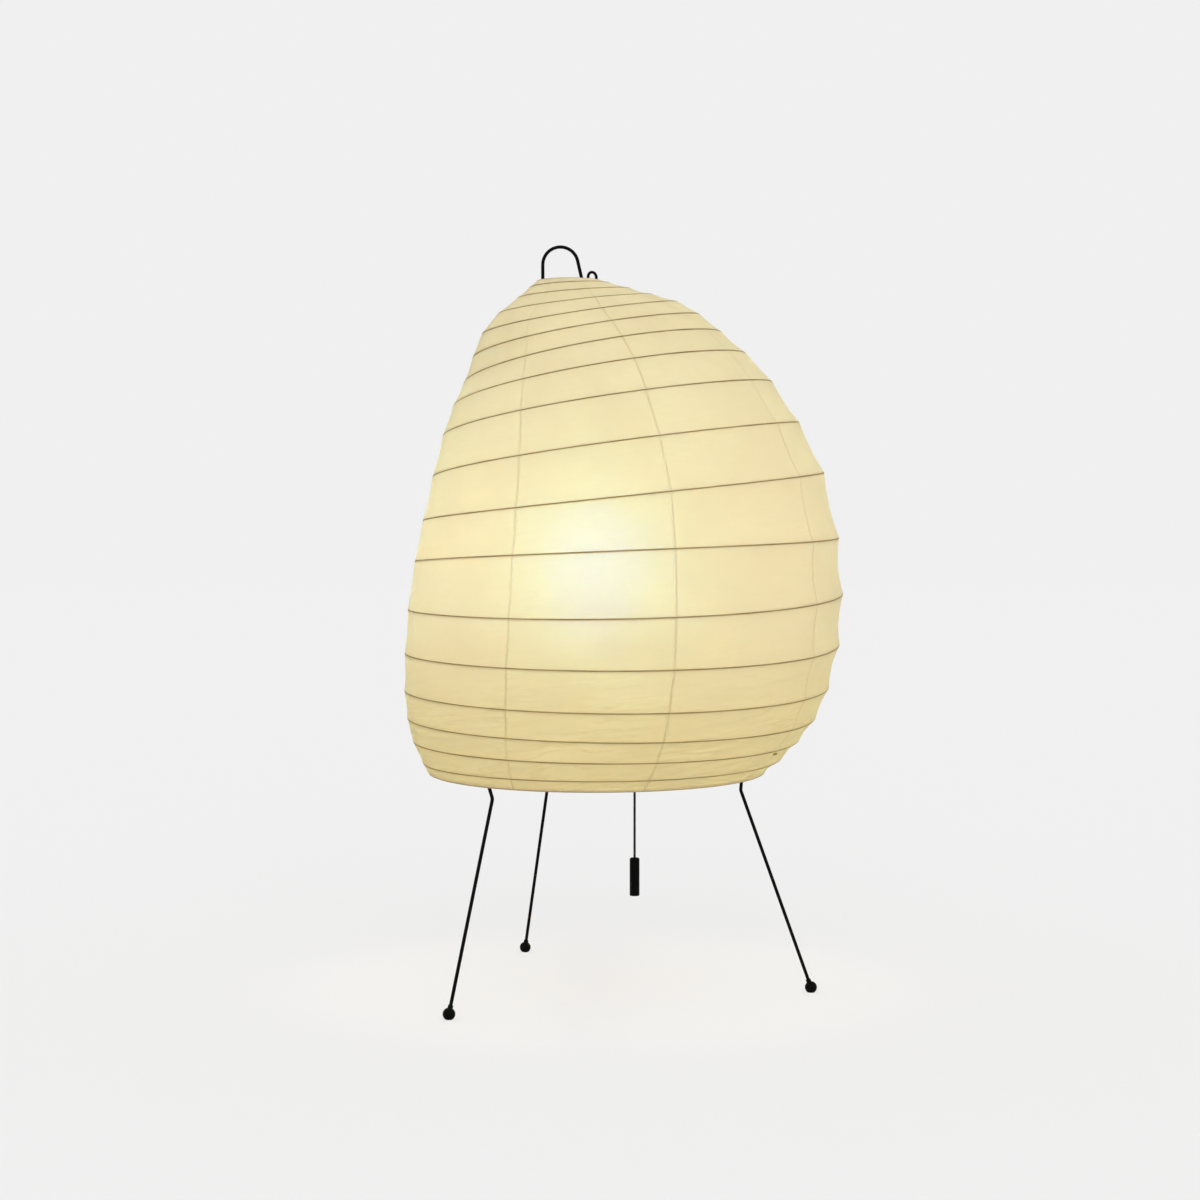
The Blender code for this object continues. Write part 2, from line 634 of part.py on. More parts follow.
def make_top_hook(black, parent):
    """A short wire welded behind the stretcher's right shoulder, which curls over the rim of the top opening."""
    level = TOP_LEVEL - HOOP_INSET_LEVEL
    hoop = hoop_point(level, HOOK_AZIMUTH)
    outward = Vector((math.sin(HOOK_AZIMUTH), -math.cos(HOOK_AZIMUTH), 0.0))
    shoulder = hoop_point(level, math.pi / 2).z - HOOP_RADIUS - GAP - WIRE_RADIUS
    inner = hoop - HOOK_INSIDE * outward
    outer = shade_point(TOP_LEVEL - HOOK_TIP_LEVEL, HOOK_AZIMUTH)
    corners = (
        (inner.x, WIRE_RADIUS + GAP, shoulder),
        (inner.x, inner.y, shoulder),
        (inner.x, inner.y, HOOK_TOP),
        (outer.x, outer.y, HOOK_TOP),
        (outer.x, outer.y, outer.z + HOOK_RADIUS + GAP),
    )
    curl = (outer.xy - inner.xy).length / 2 - BEND_SLACK
    wire("top_hook", round_corners(corners, (HOOK_BEND, curl, curl)), HOOK_RADIUS, black, parent)


# Lampholder

def make_bar(zinc, parent):
    """A flat bar on top of the stand ring, with a lip folded down outside the ring at each end."""
    inside = stand_ring_circle() + WIRE_RADIUS + GAP
    end = inside + BAR_THICKNESS
    lip = BAR_BOTTOM - BAR_LIP
    half = BAR_WIDTH / 2
    outline = [(-end, BAR_TOP), (end, BAR_TOP), (end, lip), (inside, lip)]
    outline += [(inside, BAR_BOTTOM), (-inside, BAR_BOTTOM), (-inside, lip), (-end, lip)]
    mesh = extruded_mesh("bridge_bar", [(-half, y, z) for y, z in outline], (BAR_WIDTH, 0.0, 0.0))
    bar = add_object("bridge_bar", mesh, zinc, parent)
    drill(bar, "bar_hole", NIPPLE_RADIUS + GAP, BAR_BOTTOM - BAR_THICKNESS, BAR_TOP + BAR_THICKNESS)


def make_fixings(materials, parent):
    turned("nipple", tube_outline(NIPPLE_BORE, NIPPLE_RADIUS, NIPPLE_BOTTOM, NIPPLE_TOP), materials["zinc"], parent)
    hole = NIPPLE_RADIUS + GAP
    washer_top = WASHER_BOTTOM + WASHER_THICKNESS
    turned("washer", tube_outline(hole, WASHER_RADIUS, WASHER_BOTTOM, washer_top), materials["zinc"], parent)
    nut_top = BAR_BOTTOM - GAP
    nut_bottom = nut_top - NUT_THICKNESS
    corner = NUT_ACROSS_FLATS / math.sqrt(3.0)
    hexagon = [(corner * math.cos(k * math.tau / 6), corner * math.sin(k * math.tau / 6), nut_bottom) for k in range(6)]
    nut = add_object("lock_nut", extruded_mesh("lock_nut", hexagon, (0, 0, NUT_THICKNESS)), materials["zinc"], parent)
    drill(nut, "nut_hole", hole, nut_bottom - NUT_THICKNESS, nut_top + NUT_THICKNESS)
    flange_top = NIPPLE_BOTTOM - GAP
    flange_bottom = flange_top - GLAND_FLANGE_THICKNESS
    spigot = NIPPLE_BORE - GAP
    spigot_top = flange_top + GLAND_SPIGOT
    gland = [(spigot, spigot_top), (spigot, flange_top), (GLAND_FLANGE_RADIUS, flange_top)]
    gland += [(GLAND_FLANGE_RADIUS, flange_bottom), (GLAND_BORE, flange_bottom), (GLAND_BORE, spigot_top)]
    turned("cord_gland", gland, materials["phenolic"], parent)


def make_lampholder(materials, parent):
    shoulder = CAP_BOTTOM + CAP_SHOULDER_HEIGHT
    floor = CAP_BOTTOM + CAP_WALL
    cavity = SOCKET_RADIUS - CAP_WALL
    hole = NIPPLE_RADIUS + GAP
    cap = [(SOCKET_RADIUS, CAP_TOP), (SOCKET_RADIUS, shoulder), (CAP_FOOT_RADIUS, CAP_BOTTOM), (hole, CAP_BOTTOM)]
    cap += [(hole, floor), (CAP_FOOT_RADIUS - CAP_WALL / 2, floor), (cavity, shoulder), (cavity, CAP_TOP)]
    turned("socket_cap", cap, materials["phenolic"], parent)

    step = SHELL_TOP - SHELL_NECK_HEIGHT
    neck = SOCKET_RADIUS - SHELL_NECK_STEP
    inner = SOCKET_RADIUS - SOCKET_WALL
    inner_neck = neck - SOCKET_WALL
    shell = [(neck, SHELL_TOP), (neck, step), (SOCKET_RADIUS, step - SHELL_NECK_STEP), (SOCKET_RADIUS, SHELL_BOTTOM)]
    shell += [(inner, SHELL_BOTTOM), (inner, step - SHELL_NECK_STEP), (inner_neck, step), (inner_neck, SHELL_TOP)]
    turned("socket_shell", shell, materials["phenolic"], parent)
    bore = neck + GAP
    ring = tube_outline(bore, bore + RING_WALL, step + GAP, step + GAP + RING_HEIGHT)
    turned("shell_ring", ring, materials["phenolic"], parent)

    seat = inner - GAP
    floor = SHELL_BOTTOM + INSULATOR_FLOOR
    boss = SHELL_BOTTOM + INSULATOR_BOSS_HEIGHT
    rim = SHELL_BOTTOM + INSULATOR_HEIGHT
    recess = SCREW_SHELL_BORE + SCREW_SHELL_WALL + GAP
    insulator = [(0.0, boss), (INSULATOR_BOSS_RADIUS, boss), (INSULATOR_BOSS_RADIUS, floor), (recess, floor)]
    insulator += [(recess, rim), (seat, rim), (seat, SHELL_BOTTOM), (0.0, SHELL_BOTTOM)]
    turned("socket_insulator", insulator, materials["ceramic"], parent)
    thread_bottom = floor + GAP
    thread = tube_outline(
        SCREW_SHELL_BORE, SCREW_SHELL_BORE + SCREW_SHELL_WALL, thread_bottom, thread_bottom + SCREW_SHELL_HEIGHT
    )
    turned("screw_shell", thread, materials["brass"], parent)
    make_contact_leaf(materials["brass"], parent)


def make_contact_leaf(brass, parent):
    """A sprung brass strip, arched up to the bulb's tip."""
    steps = 8
    half = CONTACT_LEAF_WIDTH / 2
    bm = bmesh.new()
    rows = []
    for step in range(steps + 1):
        share = step / steps
        height = LEAF_BOTTOM + CONTACT_LEAF_THICKNESS + CONTACT_LEAF_RISE * math.sin(math.pi * share) ** 2
        x = CONTACT_LEAF_SPAN * (share - 0.5)
        rows.append([bm.verts.new((x, y, height)) for y in (-half, half)])
    for first, second in zip(rows, rows[1:]):
        bm.faces.new((first[0], second[0], second[1], first[1]))
    mesh = bpy.data.meshes.new("centre_contact")
    bm.to_mesh(mesh)
    bm.free()
    leaf = add_object("centre_contact", mesh, brass, parent)
    solidify = leaf.modifiers.new("thickness", "SOLIDIFY")
    solidify.thickness = CONTACT_LEAF_THICKNESS
    solidify.offset = -1.0


# Bulb

def bulb_outline():
    """Outside of the glass from the foot of its neck to the crown, as (radius, height)."""
    equator = BULB_TIP + BULB_EQUATOR_HEIGHT
    outline = [(BULB_NECK_RADIUS, BULB_NECK_BOTTOM)]
    lower_steps, upper_steps = 8, 6
    for step in range(lower_steps + 1):
        share = step / lower_steps
        swell = math.sin(math.pi / 2 * share) ** 1.35
        radius = BULB_NECK_RADIUS + (BULB_RADIUS - BULB_NECK_RADIUS) * swell
        outline.append((radius, BULB_CAP_TOP + GAP + (equator - BULB_CAP_TOP - GAP) * share))
    for step in range(1, upper_steps + 1):
        angle = math.pi / 2 * step / upper_steps
        outline.append((BULB_RADIUS * math.cos(angle), equator + BULB_RADIUS * math.sin(angle)))
    outline[-1] = (0.0, equator + BULB_RADIUS)
    return outline


def make_bulb(materials, turning, rising):
    bm = bmesh.new()
    points = [bm.verts.new((radius, 0.0, height)) for radius, height in bulb_outline()]
    lines = [bm.edges.new(pair) for pair in zip(points, points[1:])]
    bmesh.ops.spin(
        bm, geom=points + lines, cent=(0, 0, 0), axis=(0, 0, 1), angle=math.tau, steps=ROUND_STEPS, use_merge=True
    )
    bmesh.ops.remove_doubles(bm, verts=bm.verts, dist=1e-6)
    glass = add_object("bulb_glass", mesh_from(bm, "bulb_glass"), materials["frosted_glass"], turning)
    solidify = glass.modifiers.new("thickness", "SOLIDIFY")
    solidify.thickness = BULB_GLASS
    solidify.offset = -1.0

    inner = BULB_CAP_RADIUS - BULB_CAP_WALL
    taper = BULB_CAP_BOTTOM + BULB_CAP_TAPER
    cap = [(BULB_CAP_RADIUS, BULB_CAP_TOP), (BULB_CAP_RADIUS, taper), (BULB_TIP_CONE_RADIUS, BULB_CAP_BOTTOM)]
    cap += [(BULB_CAP_MOUTH, BULB_CAP_BOTTOM), (BULB_CAP_MOUTH, BULB_CAP_BOTTOM + BULB_CAP_WALL)]
    cap += [(BULB_TIP_CONE_RADIUS - BULB_CAP_WALL / 2, BULB_CAP_BOTTOM + BULB_CAP_WALL)]
    cap += [(inner, taper + BULB_CAP_WALL / 2), (inner, BULB_CAP_TOP)]
    turned("bulb_cap", cap, materials["nickel"], turning)

    cone_top = BULB_CONE_BOTTOM + BULB_TIP_CONE_HEIGHT
    cone = [(0.0, cone_top), (BULB_TIP_CONE_RADIUS, cone_top), (BULB_TIP_RADIUS, BULB_CONE_BOTTOM)]
    cone += [(0.0, BULB_CONE_BOTTOM)]
    turned("bulb_cap_insulator", cone, materials["phenolic"], turning)
    tip_top = BULB_TIP + BULB_TIP_THICKNESS
    tip = [(0.0, tip_top), (BULB_TIP_RADIUS, tip_top), (BULB_TIP_RADIUS - BULB_TIP_THICKNESS, BULB_TIP)]
    tip += [(0.0, BULB_TIP)]
    turned("bulb_contact", tip, materials["brass"], rising)

    foot = BULB_NECK_RADIUS - BULB_GLASS - GAP
    stem_top = BULB_NECK_BOTTOM + STEM_HEIGHT
    stem = [(0.0, stem_top), (STEM_RADIUS, stem_top), (STEM_RADIUS, BULB_NECK_BOTTOM + STEM_HEIGHT / 2)]
    stem += [(foot, BULB_NECK_BOTTOM + STEM_FOOT_HEIGHT), (foot, BULB_NECK_BOTTOM), (0.0, BULB_NECK_BOTTOM)]
    turned("bulb_stem", stem, materials["ceramic"], turning)
    half = FILAMENT_SPAN / 2
    start = stem_top + GAP
    crown = start + FILAMENT_HEIGHT
    corners = [(-FILAMENT_FOOT_SPAN / 2, 0, start), (-half, 0, crown - half), (-half, 0, crown)]
    corners += [(half, 0, crown), (half, 0, crown - half), (FILAMENT_FOOT_SPAN / 2, 0, start)]
    bend = half - BEND_SLACK
    points = round_corners(corners, (FILAMENT_FOOT_SPAN, bend, bend, FILAMENT_FOOT_SPAN))
    wire("bulb_filament", points, FILAMENT_RADIUS, materials["brass"], turning, resolution=1)


# Pull switch

def make_switch(materials, parent):
    """The fixed parts of the switch, against the right side of the lampholder."""
    place = (CORD_X, 0.0, 0.0)
    outline = rounded_outline(SWITCH_WIDTH, SWITCH_DEPTH, SWITCH_CORNER, SWITCH_BASE_HEIGHT)
    body_mesh = extruded_mesh("switch_body", outline, (0.0, 0.0, SWITCH_HEIGHT))
    body = add_object("switch_body", body_mesh, materials["phenolic"], parent, place)
    drill(body, "plunger_bore", SWITCH_BORE, SWITCH_FLOOR_TOP, SWITCH_TOP + SWITCH_FLOOR, place)
    sleeve_hole = GUIDE_SLEEVE_RADIUS + GAP
    drill(body, "guide_hole", sleeve_hole, SWITCH_BASE_HEIGHT - SWITCH_FLOOR, SWITCH_FLOOR_TOP + SWITCH_FLOOR, place)
    lid = rounded_outline(SWITCH_WIDTH, SWITCH_DEPTH, SWITCH_CORNER, SWITCH_TOP + GAP)
    cover_mesh = extruded_mesh("switch_cover", lid, (0.0, 0.0, SWITCH_COVER))
    add_object("switch_cover", cover_mesh, materials["phenolic"], parent, place)

    bore = PULL_ROD_RADIUS + GAP
    flange_top = SWITCH_BASE_HEIGHT - GAP
    sleeve_top = SWITCH_BASE_HEIGHT + GUIDE_SLEEVE_HEIGHT
    guide = [(GUIDE_SLEEVE_RADIUS, sleeve_top), (GUIDE_SLEEVE_RADIUS, flange_top), (GUIDE_FLANGE_RADIUS, flange_top)]
    guide += [(GUIDE_FLANGE_RADIUS, GUIDE_BOTTOM), (bore, GUIDE_BOTTOM), (bore, sleeve_top)]
    turned("cord_guide", guide, materials["brass"], parent, place)

    start = SWITCH_FLOOR_TOP + GAP + SPRING_WIRE_RADIUS
    climb = PLUNGER_BOTTOM - GAP - SPRING_WIRE_RADIUS - start
    count = SPRING_TURNS * SPRING_POINTS_PER_TURN
    coil = []
    for step in range(count + 1):
        angle = math.tau * step / SPRING_POINTS_PER_TURN
        coil.append((SPRING_RADIUS * math.cos(angle), SPRING_RADIUS * math.sin(angle), start + climb * step / count))
    wire("return_spring", coil, SPRING_WIRE_RADIUS, materials["zinc"], parent, place, resolution=1)
    print(f"return_spring: least gap to itself {1000 * (climb / SPRING_TURNS - 2 * SPRING_WIRE_RADIUS):.2f} mm")


def make_pull(materials, sliding, swinging):
    """The sliding plunger and rod, and the cord and pull that swing under them."""
    plunger = SWITCH_BORE - GAP
    profile = [(0.0, PLUNGER_HEIGHT), (plunger, PLUNGER_HEIGHT), (plunger, 0.0), (0.0, 0.0)]
    turned("switch_plunger", profile, materials["ceramic"], sliding, (0.0, 0.0, PLUNGER_BOTTOM))
    rod_top = PLUNGER_BOTTOM - GAP
    rod = [(0.0, rod_top), (PULL_ROD_RADIUS, rod_top), (PULL_ROD_RADIUS, ROD_BOTTOM), (0.0, ROD_BOTTOM)]
    turned("pull_rod", rod, materials["nickel"], sliding, steps=12)

    bore_floor = PULL_TOP - PULL_BORE_DEPTH
    cord_end = bore_floor + GAP
    heights = [CORD_TOP + (cord_end - CORD_TOP) * k / (CORD_POINTS - 1) for k in range(CORD_POINTS)]
    wire("pull_cord", [(0.0, 0.0, z - CORD_PIVOT) for z in heights], CORD_RADIUS, materials["black_cord"], swinging)
    top = PULL_TOP - CORD_PIVOT
    bottom = top - PULL_LENGTH
    floor = bore_floor - CORD_PIVOT
    bore = CORD_RADIUS + GAP
    pull = [(0.0, floor), (bore, floor), (bore, top), (PULL_RADIUS - PULL_EDGE, top)]
    edge_steps = 3
    for step in range(1, edge_steps + 1):
        angle = math.pi / 2 * step / edge_steps
        ring = PULL_RADIUS - PULL_EDGE + PULL_EDGE * math.sin(angle)
        pull.append((ring, top - PULL_EDGE + PULL_EDGE * math.cos(angle)))
    pull += [(PULL_RADIUS, bottom), (0.0, bottom)]
    turned("cord_pull", pull, materials["black_pull"], swinging)


def main():
    clear_scene()
    materials = make_materials()
    stand = empty("stand", (STAND_X, 0.0, 0.0))
    rising = empty("bulb_rise_axis", (0.0, 0.0, 0.0), stand)
    turning = empty("bulb_turn_axis", (0.0, 0.0, 0.0), rising)
    sliding = empty("switch_pull_axis", (CORD_X, 0.0, 0.0), stand)
    swinging = empty("cord_swing_axis", (0.0, 0.0, CORD_PIVOT), sliding)
    make_gores(materials["paper"], stand)
    make_rib(materials["bamboo"], stand)
    make_hoops(materials["zinc"], stand)
    make_stand(materials, stand)
    make_stretcher(materials["black_wire"], stand)
    make_top_hook(materials["black_wire"], stand)
    make_bar(materials["zinc"], stand)
    make_fixings(materials, stand)
    make_lampholder(materials, stand)
    make_bulb(materials, turning, rising)
    make_switch(materials, stand)
    make_pull(materials, sliding, swinging)


main()
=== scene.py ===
"""Looks of the rice paper table lamp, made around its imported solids.

Metres, +Z up, seen from -Y. Sizes and routes repeat those of the solids. The stand's axis is at x = STAND_X.
"""

import json
import math

import bmesh
import bpy
from mathutils import Matrix, Vector, noise


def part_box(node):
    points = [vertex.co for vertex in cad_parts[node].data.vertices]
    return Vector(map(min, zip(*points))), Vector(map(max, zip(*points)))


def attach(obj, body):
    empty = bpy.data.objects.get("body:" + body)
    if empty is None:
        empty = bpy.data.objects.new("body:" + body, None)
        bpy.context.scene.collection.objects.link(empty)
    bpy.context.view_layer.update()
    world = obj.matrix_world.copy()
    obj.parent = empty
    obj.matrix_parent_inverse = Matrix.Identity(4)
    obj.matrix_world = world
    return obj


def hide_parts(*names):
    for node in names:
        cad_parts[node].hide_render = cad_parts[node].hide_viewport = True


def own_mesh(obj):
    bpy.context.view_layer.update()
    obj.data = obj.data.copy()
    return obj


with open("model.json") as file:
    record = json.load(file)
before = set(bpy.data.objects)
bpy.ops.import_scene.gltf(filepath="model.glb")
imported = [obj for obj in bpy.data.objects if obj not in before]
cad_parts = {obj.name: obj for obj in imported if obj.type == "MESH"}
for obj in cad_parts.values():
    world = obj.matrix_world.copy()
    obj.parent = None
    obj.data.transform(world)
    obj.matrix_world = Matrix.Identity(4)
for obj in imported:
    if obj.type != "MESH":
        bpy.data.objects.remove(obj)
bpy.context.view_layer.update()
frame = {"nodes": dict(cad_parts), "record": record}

# Sizes of the solids: shade, rib and hoops
GAP = 0.0003
STAND_X = -0.0162
SHADE_RADIUS = 0.1270
SHADE_BOTTOM = 0.1264
SHADE_HEIGHT = 0.2882
SHADE_TOP = SHADE_BOTTOM + SHADE_HEIGHT
SHADE_RINGS = (
    (0.0016, 0.7732, 0.0000, 0.0, -1.9),
    (0.0369, 0.8877, 0.0704, -1.2, -3.2),
    (0.0906, 0.9732, 0.1742, -1.7, -4.0),
    (0.1402, 1.0000, 0.3480, -0.9, -3.6),
    (0.1430, 0.9308, 0.5583, 3.6, -1.4),
    (0.0751, 0.7736, 0.7360, 6.4, 1.0),
    (0.0060, 0.6111, 0.8407, 8.6, 2.1),
    (-0.0543, 0.4610, 0.9268, 7.2, -3.0),
    (-0.0823, 0.2637, 0.9765, 2.9, -4.0),
    (-0.1244, 0.1449, 1.0000, 0.3, -0.6),
)
TURNS_PER_RING = 2
TOP_LEVEL = TURNS_PER_RING * (len(SHADE_RINGS) - 1)
PAPER_THICKNESS = 0.0004
GORES = 8
SEAM_DRIFT_LEFT = 0.0172
SEAM_DRIFT_FRONT = 0.0036
SEAM_DRIFT_LOW = 0.0125
SEAM_DRIFT_LEVEL = 8.0
RIB_RADIUS = 0.00075
RIB_TURNS = 17
RIB_START_AZIMUTH = math.radians(189.5)
RIB_START_LEVEL = 0.526
RIB_STRAY = 0.15
RIB_STRAY_LEVEL = 7.12
RIB_STRAY_LENGTH = 0.90
HOOP_RADIUS = 0.0010
HOOP_INSET_LEVEL = 0.15
HOOP_DEPTH = PAPER_THICKNESS + GAP + HOOP_RADIUS

# Sizes of the solids: stand
WIRE_RADIUS = 0.0010
BEND_SLACK = 1e-5
LEG_AZIMUTHS = {"side": 80.9, "front": -39.1, "rear": -159.1}
LEG_KINK_INSIDE_RIM = 0.0102
LEG_KINK_BELOW_RING = 0.0085
LEG_KINK_BEND = 0.0030
LEG_HOOK_BEND = 0.0022
LEG_HOOK_REACH = 0.0005
LEG_TOP_SPLAY = math.radians(22.0)
LEG_TOP_TWIST = math.radians(-1.7)
INNER_LEG = "side"
INNER_LEG_SPLAY = math.radians(5.0)
STAND_RING_BELOW_RIM = 0.0009
FOOT_CIRCLE = 0.1265
FOOT_RADIUS = 0.0035
FOOT_FLAT = 0.0005
FOOT_NECK_RADIUS = 0.0020
FOOT_NECK_LENGTH = 0.0020
HANDLE_LEFT_PLAY = 0.0006
HANDLE_RIGHT_PLAY = 0.0079
HANDLE_RIGHT_LEAN = math.radians(12.9)
HANDLE_ABOVE_RIM = 0.0208
STRETCHER_TIP = 0.0015
STRETCHER_UPRIGHT = 0.0145
STRETCHER_ELBOW_BEND = 0.0250
STRETCHER_SHOULDER_REACH = 0.0023
STRETCHER_SHOULDER_BEND = 0.0020
HOOK_RADIUS = 0.00085
HOOK_AZIMUTH = math.radians(130.0)
HOOK_INSIDE = 0.0040
HOOK_TIP_LEVEL = 0.40
HOOK_ABOVE_RIM = 0.0066
HOOK_BEND = 0.0020

# Sizes of the solids: pull, bulb, lampholder and fixings
CORD_RADIUS = 0.0007
PULL_EDGE = 0.0010
PULL_BORE_DEPTH = 0.0050
BULB_NECK_RADIUS = 0.0120
BULB_GLASS = 0.0009
BULB_CAP_WALL = 0.0006
BULB_CAP_TAPER = 0.0025
BULB_CAP_FOOT_RADIUS = 0.0092
BULB_CAP_MOUTH = 0.0070
NIPPLE_HOLE = 0.0053
NIPPLE_BORE = 0.0039
GLAND_FLANGE_THICKNESS = 0.0026
GLAND_SPIGOT_RADIUS = 0.0036
GLAND_BORE = 0.0031
CAP_WALL = 0.0035
CAP_FOOT_RADIUS = 0.0130
CAP_SHOULDER_HEIGHT = 0.0080
SHELL_WALL = 0.0018
SHELL_NECK_HEIGHT = 0.0120
SHELL_NECK_STEP = 0.0012
RING_WALL = 0.0039
GUIDE_FLANGE_RADIUS = 0.0030
GUIDE_FLANGE_THICKNESS = 0.0015
GUIDE_SLEEVE_RADIUS = 0.0019
GUIDE_BORE = 0.0011
SPRING_WIRE_RADIUS = 0.00035
SPRING_TURNS = 5

# Circles and heights that follow from the sizes above
STAND_RING_HEIGHT = SHADE_BOTTOM - STAND_RING_BELOW_RIM
LEG_KINK_CIRCLE = SHADE_RADIUS * SHADE_RINGS[0][1] - LEG_KINK_INSIDE_RIM
LEG_KINK_HEIGHT = STAND_RING_HEIGHT - LEG_KINK_BELOW_RING
HANDLE_TOP = SHADE_TOP + HANDLE_ABOVE_RIM
HOOK_TOP = SHADE_TOP + HOOK_ABOVE_RIM

# Form of the paper: its sag between the ribs, creases, columns and rows of points, seams and hems
PAPER_SAG_PER_PITCH = 0.035
MORE_SAG_RIGHT = 0.038
LESS_SAG_LEFT = 0.012
PAPER_MEAN_RADIUS = 0.115
SWELL_DEPTH = 0.00032
FOLD_DEPTH = 0.00008
LOW_FOLD_DEPTH = 0.00026
WIDE_PANEL = 0.012
PANEL_ROWS = (0.0, 0.04, 0.13, 0.27, 0.42, 0.58, 0.73, 0.87, 0.96)
SEAM_COLUMNS = (0.0, 0.012, 0.026)
INNER_COLUMNS = 13
SEAM_LIFT = 0.00006
HEM_STEP = 22.0
BOTTOM_HEM_STEPS = 7
TOP_HEM_STEPS = 5

# What the paper's points carry for its material: millimetres from rib and rim, and a place on the flat sheet
OFF_RIB_MM = 9.0
HEM_MM = 1.0
PLACE_RADIUS = 0.11
PLACE_STEP = 0.37

# Looks of the paper: one small brown mark, and the shares of light that pass through
GLUE_MARK_LEVEL = 1.98
GLUE_MARK_AZIMUTH = math.radians(59.0)
GLUE_MARK_FLATNESS = 1.9
GLUE_MARK_EDGE = (0.0009, 0.0021)
THROUGH_SHARE = 0.36
HALO_SHARE = 0.18
HAZE_SHARE = 0.12

# Light
BULB_STRENGTH = 26.2
BULB_DIM_SHARE = 0.50
WORLD_LIGHT = 0.995
KEY_LIGHT = 0.76
BACKGROUND = 0.8714
FLOOR_ALBEDO = 0.785


def smooth(low, high, value):
    """0 below low, 1 above high, and an even curve between."""
    t = min(max((value - low) / (high - low), 0.0), 1.0)
    return t * t * (3.0 - 2.0 * t)


# Shade surface

def shade_ring(level):
    last = len(SHADE_RINGS) - 1
    place = min(max(level / TURNS_PER_RING, 0.0), float(last))
    index = min(int(place), last - 1)
    t = place - index
    before, start, end, after = (SHADE_RINGS[min(max(index + k, 0), last)] for k in (-1, 0, 1, 2))
    values = []
    for b, s, e, a in zip(before, start, end, after):
        slope_in = (e - b) / 2
        slope_out = (a - s) / 2
        rise = t * t * (3 - 2 * t)
        values.append(s + (e - s) * rise + slope_in * t * (1 - t) ** 2 - slope_out * t * t * (1 - t))
    shift, radius, height, lean, nod = values
    return shift * SHADE_RADIUS, radius * SHADE_RADIUS, SHADE_BOTTOM + height * SHADE_HEIGHT, lean, nod


def shade_point(level, azimuth):
    """A point on the smooth outside of the shade."""
    shift, radius, height, lean, nod = shade_ring(level)
    lean = math.radians(lean)
    nod = math.radians(nod)
    side = radius * math.sin(azimuth)
    front = radius * math.cos(azimuth)
    lift = side * math.sin(lean) + front * math.sin(nod)
    return Vector((STAND_X + shift + side * math.cos(lean), -front * math.cos(nod), height + lift))


def shade_up(level, azimuth):
    """Direction up the paper."""
    low = max(level - 0.01, 0.0)
    high = min(level + 0.01, float(TOP_LEVEL))
    return (shade_point(high, azimuth) - shade_point(low, azimuth)).normalized()


def shade_normal(level, azimuth):
    along = shade_point(level, azimuth + 0.01) - shade_point(level, azimuth - 0.01)
    return along.cross(shade_up(level, azimuth)).normalized()


def inside_shade(level, azimuth, depth):
    return shade_point(level, azimuth) - depth * shade_normal(level, azimuth)


def hoop_point(level, azimuth):
    return inside_shade(level, azimuth, HOOP_DEPTH)


def rib_level(turns):
    """Level of the rib after a number of turns; its even rise strays once."""
    level = RIB_START_LEVEL + turns
    share = (level - RIB_STRAY_LEVEL) / RIB_STRAY_LENGTH
    if abs(share) < 0.5:
        level -= RIB_STRAY * math.sin(math.tau * share)
    return level


def drifted(turn, level):
    """The share of a turn where an upright line of the paper passes a level, a little off its even place."""
    left = SEAM_DRIFT_LEFT * math.sin(math.tau * turn) ** 2 if turn < 0.5 else 0.0
    low = SEAM_DRIFT_LOW * (1.0 - smooth(0.0, SEAM_DRIFT_LEVEL, level))
    return turn + left + (SEAM_DRIFT_FRONT + low) * math.sin(math.pi * turn) ** 2


def paper_meets(turn):
    """(level, azimuth) where an upright line of the paper meets the two hoops and each turn of the rib."""
    top = TOP_LEVEL - HOOP_INSET_LEVEL
    meets = [(HOOP_INSET_LEVEL, drifted(turn, HOOP_INSET_LEVEL))]
    for k in range(RIB_TURNS):
        place = drifted(turn, RIB_START_LEVEL + turn + k)
        meets.append((rib_level(place + k), place))
    meets.append((top, drifted(turn, top)))
    return [(level, RIB_START_AZIMUTH + place * math.tau) for level, place in meets]


def stand_point(radius, azimuth, height):
    """A point about the stand's axis; azimuth 0 faces the viewer and grows to the right."""
    return Vector((STAND_X + radius * math.sin(azimuth), -radius * math.cos(azimuth), height))


# Materials

